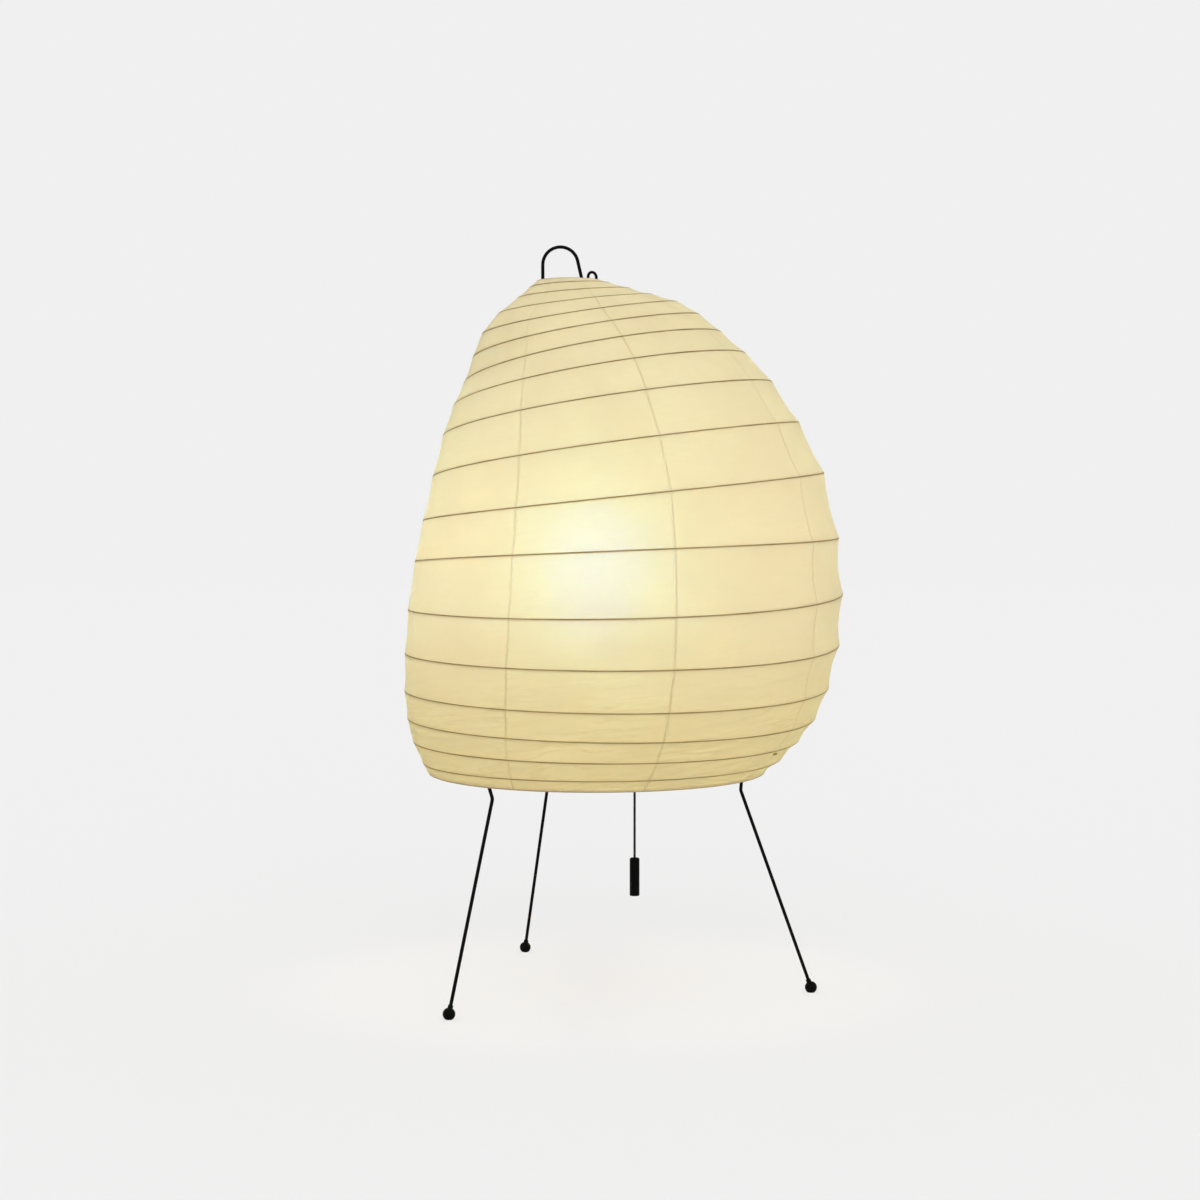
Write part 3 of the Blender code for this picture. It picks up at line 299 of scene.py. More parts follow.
class Shader:
    """The nodes of a material or world, with short calls to add and join them."""

    def __init__(self, owner, output="OutputMaterial"):
        self.owner = owner
        self.output = output
        owner.use_nodes = True
        self.tree = owner.node_tree
        self.tree.nodes.clear()

    def add(self, kind, values=None, **settings):
        """A node; values gives its sockets constants or other nodes' sockets."""
        node = self.tree.nodes.new("ShaderNode" + kind)
        for key, value in settings.items():
            setattr(node, key, value)
        for socket, value in (values or {}).items():
            if isinstance(value, bpy.types.NodeSocket):
                self.tree.links.new(value, node.inputs[socket])
            else:
                node.inputs[socket].default_value = value
        return node

    def number(self, name):
        return self.add("Attribute", attribute_name=name).outputs["Fac"]

    def vector(self, name):
        return self.add("Attribute", attribute_name=name).outputs["Vector"]

    def place(self):
        return self.add("TexCoord").outputs["Object"]

    def stretched(self, vector, scale, turn=0.0):
        values = {"Vector": vector, "Scale": scale, "Rotation": (0.0, 0.0, math.radians(turn))}
        return self.add("Mapping", values).outputs["Vector"]

    def noise(self, vector, scale, detail=3.0, roughness=0.5, distortion=0.0, kind="FBM"):
        values = {"Vector": vector, "Scale": scale, "Detail": detail, "Roughness": roughness}
        values["Distortion"] = distortion
        return self.add("TexNoise", values, noise_type=kind).outputs["Fac"]

    def ramp(self, value, low, high, first=0.0, last=1.0):
        """Value carried smoothly from first at low to last at high."""
        values = {"Value": value, "From Min": low, "From Max": high, "To Min": first, "To Max": last}
        return self.add("MapRange", values, interpolation_type="SMOOTHSTEP").outputs["Result"]

    def calc(self, operation, first, second):
        return self.add("Math", {0: first, 1: second}, operation=operation).outputs["Value"]

    def mix(self, factor, first, second):
        values = {0: factor, 6: first, 7: second}
        return self.add("Mix", values, data_type="RGBA").outputs[2]

    def shade(self, colour, factor):
        """A colour times a number."""
        values = {0: 1.0, 6: colour, 7: factor}
        return self.add("Mix", values, data_type="RGBA", blend_type="MULTIPLY").outputs[2]

    def bump(self, height, depth, strength, over=None):
        values = {"Height": height, "Distance": depth, "Strength": strength}
        if over is not None:
            values["Normal"] = over
        return self.add("Bump", values).outputs["Normal"]

    def done(self, surface):
        self.add(self.output, {"Surface": surface})
        return self.owner


def rgb(red, green, blue):
    return (red, green, blue, 1.0)


def new_shader(name):
    return Shader(bpy.data.materials.new(name))


def paper_fibres(s, place):
    """Long fibres that lie in two directions."""
    layers = []
    for scale, turn in (((70.0, 430.0, 1.0), 24.0), ((430.0, 60.0, 1.0), -17.0)):
        layers.append(s.noise(s.stretched(place, scale, turn), 1.0, 3.0, 0.5, 0.6, "RIDGED_MULTIFRACTAL"))
    return s.calc("MAXIMUM", *layers)


def paper_folds(s, place, height, clouds):
    """Slanting folds, clearest in the low panels, and painted shade along their crease lines."""
    slanted = s.stretched(place, (1.0, 1.0, 1.0), -9.0)
    folds = s.noise(s.stretched(slanted, (22.0, 170.0, 1.0)), 1.0, 2.0, 0.5, 0.3)
    low = s.ramp(height, SHADE_BOTTOM + 0.035, SHADE_BOTTOM + 0.085, 1.0, 0.2)
    # Painted shade: darker lines along the folds, where shade falls in the creases.
    creases = s.ramp(s.calc("ABSOLUTE", s.calc("SUBTRACT", folds, 0.5), 0.0), 0.0, 0.05, 1.0, 0.0)
    creases = s.calc("MULTIPLY", creases, s.calc("MULTIPLY", low, s.ramp(clouds, 0.42, 0.62)))
    return s.calc("MULTIPLY", folds, low), creases


def glue_mark(s, spot):
    """A small brown mark on the low right side of the front."""
    mark = shade_point(GLUE_MARK_LEVEL, GLUE_MARK_AZIMUTH)
    beside = s.calc("SUBTRACT", spot.outputs["X"], mark.x)
    above = s.calc("MULTIPLY", s.calc("SUBTRACT", spot.outputs["Z"], mark.z), GLUE_MARK_FLATNESS)
    away = s.calc("ADD", s.calc("MULTIPLY", beside, beside), s.calc("MULTIPLY", above, above))
    glue = s.ramp(s.calc("SQRT", away, 0.0), *GLUE_MARK_EDGE, 1.0, 0.0)
    return s.calc("MULTIPLY", glue, s.ramp(spot.outputs["Y"], -0.02, -0.01, 1.0, 0.0))


def paper_material():
    """Cream paper that lets the bulb through; ribs, seams and hems show as darker lines, with painted shadow
    of the ribs, painted shade in the creases and low down, and painted light high up.
    """
    s = new_shader("rice_paper")
    place = s.vector("paper_place")
    spot = s.add("SeparateXYZ", {0: s.place()})
    height = spot.outputs["Z"]
    clouds = s.noise(place, 26.0, 4.0, 0.55)
    pulp = s.noise(place, 900.0, 3.0, 0.6)
    fibres = paper_fibres(s, place)
    folds, creases = paper_folds(s, place, height, clouds)
    glue = glue_mark(s, spot)

    blotches = s.noise(place, 60.0, 2.0)
    # Rib lines: partly the ribs seen through the paper, partly painted shadow of the ribs on the lit paper,
    # widened towards the top.
    rib_width = s.ramp(height, SHADE_BOTTOM + 0.19, SHADE_BOTTOM + 0.27, 1.0, 1.7)
    rib_line_and_shadow = s.ramp(s.calc("DIVIDE", s.number("rib_mm"), rib_width), 0.10, 0.46, 1.0, 0.0)
    rib_line_and_shadow = s.calc("MULTIPLY", rib_line_and_shadow, s.ramp(blotches, 0.3, 0.7, 0.78, 1.0))
    seam_line = s.ramp(s.number("seam_mm"), 0.8, 2.2, 1.0, 0.0)
    seam_line = s.calc("MULTIPLY", seam_line, s.ramp(blotches, 0.25, 0.6, 0.62, 1.0))
    rim_mm = s.number("rim_mm")
    hem_line = s.ramp(rim_mm, 1.2, 3.6, 1.0, 0.0)
    hem_edge = s.ramp(rim_mm, 1.0, 1.5, 1.0, 0.0)

    # Painted shade: the paper turns more orange and duller towards the bottom, where less light falls.
    low_painted_shade = s.ramp(height, SHADE_BOTTOM, SHADE_BOTTOM + 0.11, 1.0, 0.0)
    # Painted light: the paper turns lighter and less yellow towards the top, which the light from above
    # reaches.
    high_painted_light = s.ramp(height, SHADE_BOTTOM + 0.13, SHADE_BOTTOM + 0.24)
    high_painted_light_colour = s.mix(high_painted_light, rgb(1.0, 1.0, 1.0), rgb(1.0, 1.04, 1.06))
    pale = s.ramp(clouds, 0.3, 0.7)
    body = s.mix(pale, rgb(0.965, 0.722, 0.436), rgb(1.0, 0.770, 0.474))
    body = s.shade(body, s.mix(low_painted_shade, high_painted_light_colour, rgb(1.02, 1.01, 0.84)))
    glow = s.mix(pale, rgb(0.97, 0.880, 0.82), rgb(1.0, 0.918, 0.87))
    glow = s.shade(glow, s.mix(low_painted_shade, high_painted_light_colour, rgb(1.0, 1.01, 0.92)))
    # The paper's own marks (fibres, seams, hems, glue) and painted shade (creases, part of each rib line)
    # darken both colours.
    marks_and_painted_shade = (
        (s.ramp(fibres, 0.75, 1.25), 0.30, rgb(0.70, 0.60, 0.39), 0.24, rgb(0.74, 0.60, 0.36)),
        (creases, 0.24, rgb(0.76, 0.55, 0.25), 0.18, rgb(0.75, 0.56, 0.26)),
        (seam_line, 0.10, rgb(0.80, 0.60, 0.24), 0.06, rgb(0.72, 0.54, 0.12)),
        (hem_line, 0.05, rgb(0.60, 0.46, 0.28), 0.05, rgb(0.52, 0.36, 0.17)),
        (hem_edge, 0.50, rgb(0.34, 0.27, 0.16), 0.45, rgb(0.25, 0.18, 0.08)),
        (glue, 0.95, rgb(0.36, 0.21, 0.02), 0.95, rgb(0.38, 0.24, 0.02)),
        (rib_line_and_shadow, 0.92, rgb(0.28, 0.18, 0.01), 0.92, rgb(0.28, 0.22, 0.015)),
    )
    for mark_mask, body_share, body_colour, glow_share, glow_colour in marks_and_painted_shade:
        body = s.mix(s.calc("MULTIPLY", mark_mask, body_share), body, body_colour)
        glow = s.mix(s.calc("MULTIPLY", mark_mask, glow_share), glow, glow_colour)

    grain = s.calc("ADD", s.calc("MULTIPLY", pulp, 0.5), s.calc("MULTIPLY", fibres, 0.5))
    normal = s.bump(folds, 0.0020, 0.7, s.bump(grain, 0.00012, 0.7))
    values = {"Base Color": body, "Roughness": 0.85, "Specular IOR Level": 0.25, "Normal": normal}
    face = s.add("BsdfPrincipled", values)
    through = s.add("BsdfTranslucent", {"Color": glow, "Normal": normal})
    sheet = s.add("MixShader", {0: THROUGH_SHARE, 1: face.outputs[0], 2: through.outputs[0]})
    # Painted shadow of the ribs and painted crease shade, with the glue mark, also dim the light that passes
    # straight through.
    dark = s.calc("MAXIMUM", rib_line_and_shadow, s.calc("MAXIMUM", glue, s.calc("MULTIPLY", creases, 0.14)))
    shadow = s.calc("MULTIPLY", dark, 0.92)
    halo_colour = s.mix(shadow, rgb(0.55, 0.99, 0.44), rgb(0.20, 0.26, 0.01))
    halo = s.add("BsdfRefraction", {"Color": halo_colour, "Roughness": 0.85, "IOR": 1.55})
    lit = s.add("MixShader", {0: HALO_SHARE, 1: sheet.outputs[0], 2: halo.outputs[0]})
    haze_colour = s.mix(shadow, rgb(0.0, 0.18, 0.98), rgb(0.0, 0.05, 0.01))
    haze = s.add("BsdfRefraction", {"Color": haze_colour, "Roughness": 0.62, "IOR": 1.22})
    return s.done(s.add("MixShader", {0: HAZE_SHARE, 1: lit.outputs[0], 2: haze.outputs[0]}).outputs[0])


def bamboo_material():
    s = new_shader("split_bamboo")
    grain = s.noise(s.stretched(s.place(), (180.0, 180.0, 900.0)), 1.0, 4.0, 0.6)
    values = {
        "Base Color": s.mix(s.ramp(grain, 0.3, 0.7), rgb(0.50, 0.36, 0.18), rgb(0.66, 0.51, 0.29)),
        "Roughness": s.ramp(grain, 0.2, 0.8, 0.5, 0.75),
        "Normal": s.bump(grain, 0.0001, 0.6),
    }
    return s.done(s.add("BsdfPrincipled", values).outputs[0])


def coated_material(name, colours, roughness, grain_scale, grain_depth, **extra):
    """A painted, moulded or plated surface with fine grain and uneven gloss."""
    s = new_shader(name)
    place = s.place()
    grain = s.noise(place, grain_scale, 4.0, 0.6)
    clouds = s.noise(place, grain_scale / 14.0, 3.0, 0.5)
    uneven = s.calc("ADD", s.calc("MULTIPLY", grain, 0.4), s.calc("MULTIPLY", clouds, 0.6))
    values = {
        "Base Color": s.mix(s.ramp(clouds, 0.3, 0.7), *colours),
        "Roughness": s.ramp(uneven, 0.3, 0.7, *roughness),
        "Normal": s.bump(grain, grain_depth, 0.5),
        **extra,
    }
    return s.done(s.add("BsdfPrincipled", values).outputs[0])


def cord_material():
    """Black braid: two sets of slanting strands."""
    s = new_shader("black_braid")
    place = s.place()
    strands = []
    for side in (900.0, -900.0):
        values = {"Vector": s.stretched(place, (side, 900.0, 700.0)), "Scale": 1.0}
        strands.append(s.add("TexWave", values, wave_type="BANDS", bands_direction="DIAGONAL").outputs["Fac"])
    braid = s.calc("MAXIMUM", *strands)
    values = {
        "Base Color": s.mix(s.ramp(braid, 0.3, 0.9), rgb(0.001, 0.001, 0.001), rgb(0.004, 0.004, 0.004)),
        "Roughness": 0.85,
        "Sheen Weight": 0.05,
        "Normal": s.bump(braid, 0.0001, 0.8),
    }
    return s.done(s.add("BsdfPrincipled", values).outputs[0])


def bulb_material():
    """Frosted glass lit from within, brighter round the filament."""
    s = new_shader("lit_frosted_glass")
    frost = s.noise(s.place(), 1500.0, 2.0, 0.6)
    low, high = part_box("bulb_glass")
    middle = high.z - (high.x - low.x) / 2
    height = s.add("SeparateXYZ", {0: s.place()}).outputs["Z"]
    away = s.calc("ABSOLUTE", s.calc("SUBTRACT", height, middle), 0.0)
    values = {
        "Base Color": rgb(0.95, 0.90, 0.80),
        "Roughness": 0.45,
        "Normal": s.bump(frost, 0.00005, 0.5),
        "Emission Color": rgb(1.0, 0.915, 0.618),
        "Emission Strength": s.ramp(away, 0.006, 0.040, BULB_STRENGTH, BULB_DIM_SHARE * BULB_STRENGTH),
    }
    return s.done(s.add("BsdfPrincipled", values).outputs[0])


LOW_GLOSS = {"Specular IOR Level": 0.045}
METAL = {"Metallic": 1.0}
MATERIALS = {
    "paper": paper_material(),
    "bamboo": bamboo_material(),
    "black_wire": coated_material(
        "satin_black_wire", (rgb(0.0012, 0.0012, 0.0012), rgb(0.0020, 0.0020, 0.0020)), (0.38, 0.55),
        grain_scale=1600.0, grain_depth=0.00004, **LOW_GLOSS
    ),
    "black_rubber": coated_material(
        "satin_black_ball", (rgb(0.0014, 0.0014, 0.0012), rgb(0.0026, 0.0026, 0.0022)), (0.38, 0.55),
        grain_scale=1200.0, grain_depth=0.00006, **LOW_GLOSS
    ),
    "zinc": coated_material(
        "zinc_plate", (rgb(0.50, 0.50, 0.49), rgb(0.66, 0.66, 0.64)), (0.28, 0.50),
        grain_scale=900.0, grain_depth=0.00003, **METAL
    ),
    "brass": coated_material(
        "plain_brass", (rgb(0.68, 0.49, 0.20), rgb(0.80, 0.61, 0.30)), (0.22, 0.42),
        grain_scale=900.0, grain_depth=0.00003, **METAL
    ),
    "nickel": coated_material(
        "nickel_plate", (rgb(0.62, 0.61, 0.58), rgb(0.74, 0.73, 0.70)), (0.16, 0.32),
        grain_scale=900.0, grain_depth=0.00002, **METAL
    ),
    "phenolic": coated_material(
        "moulded_phenolic", (rgb(0.016, 0.012, 0.010), rgb(0.032, 0.024, 0.019)), (0.26, 0.44),
        grain_scale=700.0, grain_depth=0.00004
    ),
    "ceramic": coated_material(
        "white_ceramic", (rgb(0.80, 0.79, 0.75), rgb(0.86, 0.85, 0.81)), (0.22, 0.45),
        grain_scale=600.0, grain_depth=0.00003
    ),
    "frosted_glass": bulb_material(),
    "black_cord": cord_material(),
    "black_pull": coated_material(
        "satin_black_pull", (rgb(0.0008, 0.0008, 0.0008), rgb(0.0014, 0.0014, 0.0013)), (0.34, 0.50),
        grain_scale=1000.0, grain_depth=0.00005, **LOW_GLOSS
    ),
}


# Pieces

SHARP_ANGLE = math.radians(38.0)


def dress(obj, slot, body, *nodes):
    """Give a piece its finish, the body that it moves with and the solids that it stands for."""
    obj.data.materials.append(MATERIALS[slot])
    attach(obj, body)
    if nodes:
        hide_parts(*nodes)
    return obj


def add_object(name, data):
    obj = bpy.data.objects.new(name, data)
    bpy.context.scene.collection.objects.link(obj)
    return obj


def round_corners(corners, bends, bend_step=math.radians(7.0)):
    """Points along a bent wire: straight runs between the corners, and an arc of its own radius at each."""
    points = [Vector(corners[0])]
    for before, corner, after, bend in zip(corners, corners[1:], corners[2:], bends):
        corner = Vector(corner)
        into = (corner - Vector(before)).normalized()
        out = (Vector(after) - corner).normalized()
        turn = into.angle(out)
        centre = corner + (out - into).normalized() * bend / math.cos(turn / 2)
        spoke = corner - into * bend * math.tan(turn / 2) - centre
        axis = into.cross(out)
        count = max(2, math.ceil(turn / bend_step))
        for step in range(count + 1):
            points.append(centre + Matrix.Rotation(turn * step / count, 3, axis) @ spoke)
    points.append(Vector(corners[-1]))
    return points


def wire(name, points, radius, closed=False, resolution=3):
    """A round wire along points, with filled ends or closed on itself."""
    curve = bpy.data.curves.new(name, "CURVE")
    curve.dimensions = "3D"
    curve.bevel_depth = radius
    curve.bevel_resolution = resolution
    curve.use_fill_caps = not closed
    spline = curve.splines.new("POLY")
    spline.points.add(len(points) - 1)
    for target, point in zip(spline.points, points):
        target.co = (*point, 1.0)
    spline.use_cyclic_u = closed
    spline.use_smooth = True
    return add_object(name, curve)


def turned(name, profile, centre=(STAND_X, 0.0, 0.0), steps=64, edge=0.0, flutes=0.0):
    """A turned solid about Z from an outline of (radius, height), closed on itself or from axis to axis."""
    bm = bmesh.new()
    points = [bm.verts.new((radius, 0.0, height)) for radius, height in profile]
    lines = [bm.edges.new(pair) for pair in zip(points, points[1:])]
    if profile[0][0] > 0 or profile[-1][0] > 0:
        lines.append(bm.edges.new((points[-1], points[0])))
    bmesh.ops.spin(
        bm, geom=points + lines, cent=(0, 0, 0), axis=(0, 0, 1), angle=math.tau, steps=steps, use_merge=True
    )
    bmesh.ops.remove_doubles(bm, verts=bm.verts, dist=1e-6)
    if flutes:
        widest = max(radius for radius, height in profile)
        for vert in bm.verts:
            index = round(math.atan2(vert.co.y, vert.co.x) / math.tau * steps)
            if vert.co.xy.length > widest - 1e-5 and index % 2:
                vert.co.xy *= 1.0 - flutes / widest
    bmesh.ops.recalc_face_normals(bm, faces=bm.faces)
    mesh = bpy.data.meshes.new(name)
    bm.to_mesh(mesh)
    bm.free()
    mesh.shade_smooth()
    mesh.set_sharp_from_angle(angle=SHARP_ANGLE)
    obj = add_object(name, mesh)
    obj.location = centre
    if edge:
        soften(obj, edge)
    return obj


def soften(obj, width, harden=False):
    bevel = obj.modifiers.new("soft_edges", "BEVEL")
    bevel.width = width
    bevel.segments = 2
    bevel.limit_method = "ANGLE"
    bevel.angle_limit = SHARP_ANGLE
    bevel.harden_normals = harden


# Paper

def sag_share(level, azimuth):
    """How far the paper hangs in between two ribs, as a share of their distance: more on the low right."""
    right = max(0.0, math.sin(azimuth))
    left = max(0.0, -math.sin(azimuth))
    low = 1.0 - smooth(6.0, 11.0, level)
    return PAPER_SAG_PER_PITCH + MORE_SAG_RIGHT * right * right * low - LESS_SAG_LEFT * left * left


def crumple(azimuth, climb, level):
    """Depth of the soft creases: long, slightly slanting folds, deepest in the low narrow panels."""
    across = azimuth * PAPER_MEAN_RADIUS
    slanted = climb + 0.16 * across
    wide = noise.noise(Vector((across * 16.0, slanted * 46.0, 3.7)))
    fold = 1.0 - abs(noise.noise(Vector((across * 26.0 + 5.1, slanted * 120.0, 9.2)))) * 2.0
    low = 1.0 - smooth(2.5, 7.5, level)
    return SWELL_DEPTH * wide + (FOLD_DEPTH + LOW_FOLD_DEPTH * low) * fold


def hem_points(azimuth, level, side, steps):
    """The folded edge of the paper round a hoop: points from the outside to the end of the fold."""
    centre = hoop_point(level, azimuth)
    normal = shade_normal(level, azimuth)
    up = shade_up(level, azimuth) * side
    under = HOOP_RADIUS + PAPER_THICKNESS + GAP / 10
    points = []
    for step in range(1, steps + 1):
        turn = math.radians(HEM_STEP * step)
        points.append(centre + HOOP_DEPTH * math.cos(turn) * normal + under * math.sin(turn) * up)
    return points


def paper_column(turn):
    """One upright line of the paper, from hem to hem, as (point, rib mm, rim mm, climb)."""
    meets = paper_meets(turn)
    first, azimuth = meets[0]
    hem = hem_points(azimuth, first, -1.0, BOTTOM_HEM_STEPS)
    column = [(point, OFF_RIB_MM, 0.0) for point in reversed(hem)]
    climb = 0.0
    for index, ((low, start), (high, end)) in enumerate(zip(meets, meets[1:])):
        pitch = (shade_point(high, end) - shade_point(low, start)).length
        for share in PANEL_ROWS:
            level = low + (high - low) * share
            azimuth = start + (end - start) * share
            between = 4.0 * share * (1.0 - share)
            sag = sag_share(level, azimuth) * pitch * between
            sag += crumple(azimuth, climb + pitch * share, level) * between * min(1.0, pitch / WIDE_PANEL)
            below = pitch * share if index > 0 else 1.0
            above = pitch * (1.0 - share) if index < len(meets) - 2 else 1.0
            rib_mm = 1000.0 * min(below, above)
            column.append((inside_shade(level, azimuth, sag), rib_mm, climb + pitch * share))
        climb += pitch
    last, azimuth = meets[-1]
    column.append((shade_point(last, azimuth), OFF_RIB_MM, climb))
    column += [(point, OFF_RIB_MM, climb) for point in hem_points(azimuth, last, 1.0, TOP_HEM_STEPS)]
    rows = []
    for point, rib_mm, rise in column:
        rim_mm = 1000.0 * max(0.0, min(rise, climb - rise)) + HEM_MM
        rows.append((point, rib_mm, rim_mm, rise))
    return rows


def make_gore(gore):
    """One strip of paper between two seams."""
    edge = SEAM_COLUMNS[-1]
    middle = [edge + (1.0 - 2.0 * edge) * k / (INNER_COLUMNS + 1) for k in range(1, INNER_COLUMNS + 1)]
    shares = [*SEAM_COLUMNS, *middle, *(1.0 - share for share in reversed(SEAM_COLUMNS))]
    bm = bmesh.new()
    rib_layer = bm.verts.layers.float.new("rib_mm")
    seam_layer = bm.verts.layers.float.new("seam_mm")
    rim_layer = bm.verts.layers.float.new("rim_mm")
    place_layer = bm.verts.layers.float_vector.new("paper_place")
    columns = []
    for share in shares:
        turn = (gore + share) / GORES
        azimuth = RIB_START_AZIMUTH + turn * math.tau
        seam = min(share, 1.0 - share)
        lift = SEAM_LIFT * (1.0 - smooth(SEAM_COLUMNS[1], SEAM_COLUMNS[2], seam))
        line = []
        for point, rib_mm, rim_mm, climb in paper_column(turn):
            outward = Vector((point.x - STAND_X, point.y, 0.0))
            row_width = outward.length * math.tau / GORES
            vert = bm.verts.new(point + lift * outward.normalized())
            vert[rib_layer] = rib_mm
            vert[seam_layer] = 1000.0 * seam * row_width
            vert[rim_layer] = rim_mm
            vert[place_layer] = (azimuth * PLACE_RADIUS, climb, PLACE_STEP * gore)
            line.append(vert)
        columns.append(line)
    for left, right in zip(columns, columns[1:]):
        for row in range(len(left) - 1):
            bm.faces.new((left[row], right[row], right[row + 1], left[row + 1]))
    name = f"paper_strip_{gore + 1}"
    mesh = bpy.data.meshes.new(name)
    bm.to_mesh(mesh)
    bm.free()
    mesh.shade_smooth()
    strip = add_object(name, mesh)
    solidify = strip.modifiers.new("thickness", "SOLIDIFY")
    solidify.thickness = PAPER_THICKNESS
    solidify.offset = -1.0
    dress(strip, "paper", "lamp_frame", f"paper_gore_{gore + 1}")


# Rib and hoops

def make_rib():
    depth = PAPER_THICKNESS + GAP + RIB_RADIUS
    per_turn = 64
    points = []
    for step in range(RIB_TURNS * per_turn + 1):
        turn = step / per_turn
        points.append(inside_shade(rib_level(turn), RIB_START_AZIMUTH + turn * math.tau, depth))
    dress(wire("bamboo_rib", points, RIB_RADIUS, resolution=1), "bamboo", "lamp_frame", "rib_spiral")


def make_hoop(name, node, level):
    count = 96
    points = [hoop_point(level, RIB_START_AZIMUTH + math.tau * k / count) for k in range(count)]
    dress(wire(name, points, HOOP_RADIUS, closed=True, resolution=2), "zinc", "lamp_frame", node)


make_rib()
make_hoop("bottom_hoop", "shade_bottom_ring", HOOP_INSET_LEVEL)
make_hoop("top_hoop", "shade_top_ring", TOP_LEVEL - HOOP_INSET_LEVEL)
for number in range(GORES):
    make_gore(number)


# Stand

def leg_top_circle(height):
    return LEG_KINK_CIRCLE + (height - LEG_KINK_HEIGHT) * math.tan(LEG_TOP_SPLAY)


RING_CIRCLE = leg_top_circle(STAND_RING_HEIGHT) - (2 * WIRE_RADIUS + GAP) / math.cos(LEG_TOP_SPLAY)


def inner_leg_circle(height):
    beside_ring = RING_CIRCLE - (2 * WIRE_RADIUS + GAP) / math.cos(INNER_LEG_SPLAY)
    return beside_ring + (height - STAND_RING_HEIGHT) * math.tan(INNER_LEG_SPLAY)


def make_leg(side, degrees):
    """A bent wire from its foot up to a hook over the bottom hoop."""
    azimuth = math.radians(degrees) + LEG_TOP_TWIST
    upper_circle = inner_leg_circle if side == INNER_LEG else leg_top_circle
    foot = stand_point(FOOT_CIRCLE, math.radians(degrees), FOOT_RADIUS - FOOT_FLAT)
    kink = stand_point(upper_circle(LEG_KINK_HEIGHT), azimuth, LEG_KINK_HEIGHT)
    up_leg = (kink - foot).normalized()
    hoop = hoop_point(HOOP_INSET_LEVEL, azimuth)
    tip_circle = (hoop.xy - Vector((STAND_X, 0.0))).length + LEG_HOOK_REACH
    hook_height = hoop.z + HOOP_RADIUS + GAP + WIRE_RADIUS
    bend = stand_point(upper_circle(hook_height), azimuth, hook_height)
    tip = stand_point(tip_circle, azimuth, hook_height)
    points = round_corners((foot + GAP * up_leg, kink, bend, tip), (LEG_KINK_BEND, LEG_HOOK_BEND))
    dress(wire("wire_leg_" + side, points, WIRE_RADIUS), "black_wire", "lamp_frame", "leg_" + side)
    make_foot(side, foot, up_leg)


def make_foot(side, centre, up_leg):
    """A ball on the wire's end, with a thin collar round the wire and a small flat underneath."""
    bore = WIRE_RADIUS + GAP
    collar = bore + 0.00014
    collar_drop = 0.00012
    collar_round = 0.00008
    rise = math.asin(collar / FOOT_RADIUS)
    steps = 28
    angles = [math.pi + (rise - math.pi) * k / steps for k in range(steps + 1)]
    profile = [(FOOT_RADIUS * math.sin(angle), FOOT_RADIUS * math.cos(angle)) for angle in angles]
    profile[0] = (0.0, -FOOT_RADIUS)
    top = FOOT_RADIUS * math.cos(math.asin(FOOT_NECK_RADIUS / FOOT_RADIUS)) + FOOT_NECK_LENGTH
    profile += [(collar, top - collar_drop), (collar - collar_round, top)]
    profile += [(bore, top), (bore, 0.0), (0.0, 0.0)]
    ball = turned("ball_foot_" + side, profile, (0.0, 0.0, 0.0), 48)
    turn = Vector((0, 0, 1)).rotation_difference(up_leg).to_matrix().to_4x4()
    ball.data.transform(Matrix.Translation(centre) @ turn)
    for vert in ball.data.vertices:
        vert.co.z = max(vert.co.z, 0.0)
    dress(ball, "black_rubber", "lamp_frame", "foot_" + side)


def make_stand_ring():
    count = 128
    points = [stand_point(RING_CIRCLE, math.tau * k / count, STAND_RING_HEIGHT) for k in range(count)]
    dress(wire("wire_ring", points, WIRE_RADIUS, closed=True), "black_wire", "lamp_frame", "stand_ring")


def make_stretcher():
    """The tall wire inside the shade, whose top is the handle loop."""
    hook = 2 * WIRE_RADIUS + GAP
    bottom = STAND_RING_HEIGHT - hook
    top = HANDLE_TOP - WIRE_RADIUS
    sides = []
    for side, play, lean in ((-1, HANDLE_LEFT_PLAY, 0.0), (1, HANDLE_RIGHT_PLAY, HANDLE_RIGHT_LEAN)):
        hoop = hoop_point(TOP_LEVEL - HOOP_INSET_LEVEL, side * math.pi / 2)
        shoulder = hoop.z - HOOP_RADIUS - GAP - WIRE_RADIUS
        handle = hoop.x - side * (HOOP_RADIUS + WIRE_RADIUS + play)
        outside = STAND_X + side * (RING_CIRCLE + hook)
        inside = STAND_X + side * (RING_CIRCLE - hook)
        sides.append(
            [
                (outside, 0.0, STAND_RING_HEIGHT + STRETCHER_TIP),
                (outside, 0.0, bottom),
                (inside, 0.0, bottom),
                (inside, 0.0, STAND_RING_HEIGHT + STRETCHER_UPRIGHT),
                (hoop.x + side * STRETCHER_SHOULDER_REACH, 0.0, shoulder),
                (handle, 0.0, shoulder),
                (handle - side * (top - shoulder) * math.tan(lean), 0.0, top),
            ]
        )
    left, right = sides
    span = right[-1][0] - left[-1][0]
    loop = span / (1.0 + math.tan((math.pi / 2 - HANDLE_RIGHT_LEAN) / 2)) - BEND_SLACK
    bends = [hook - BEND_SLACK] * 2 + [STRETCHER_ELBOW_BEND] + [STRETCHER_SHOULDER_BEND] * 2 + [loop]
    points = round_corners(left + right[::-1], bends + bends[::-1])
    dress(wire("wire_stretcher", points, WIRE_RADIUS), "black_wire", "lamp_frame", "stretcher")


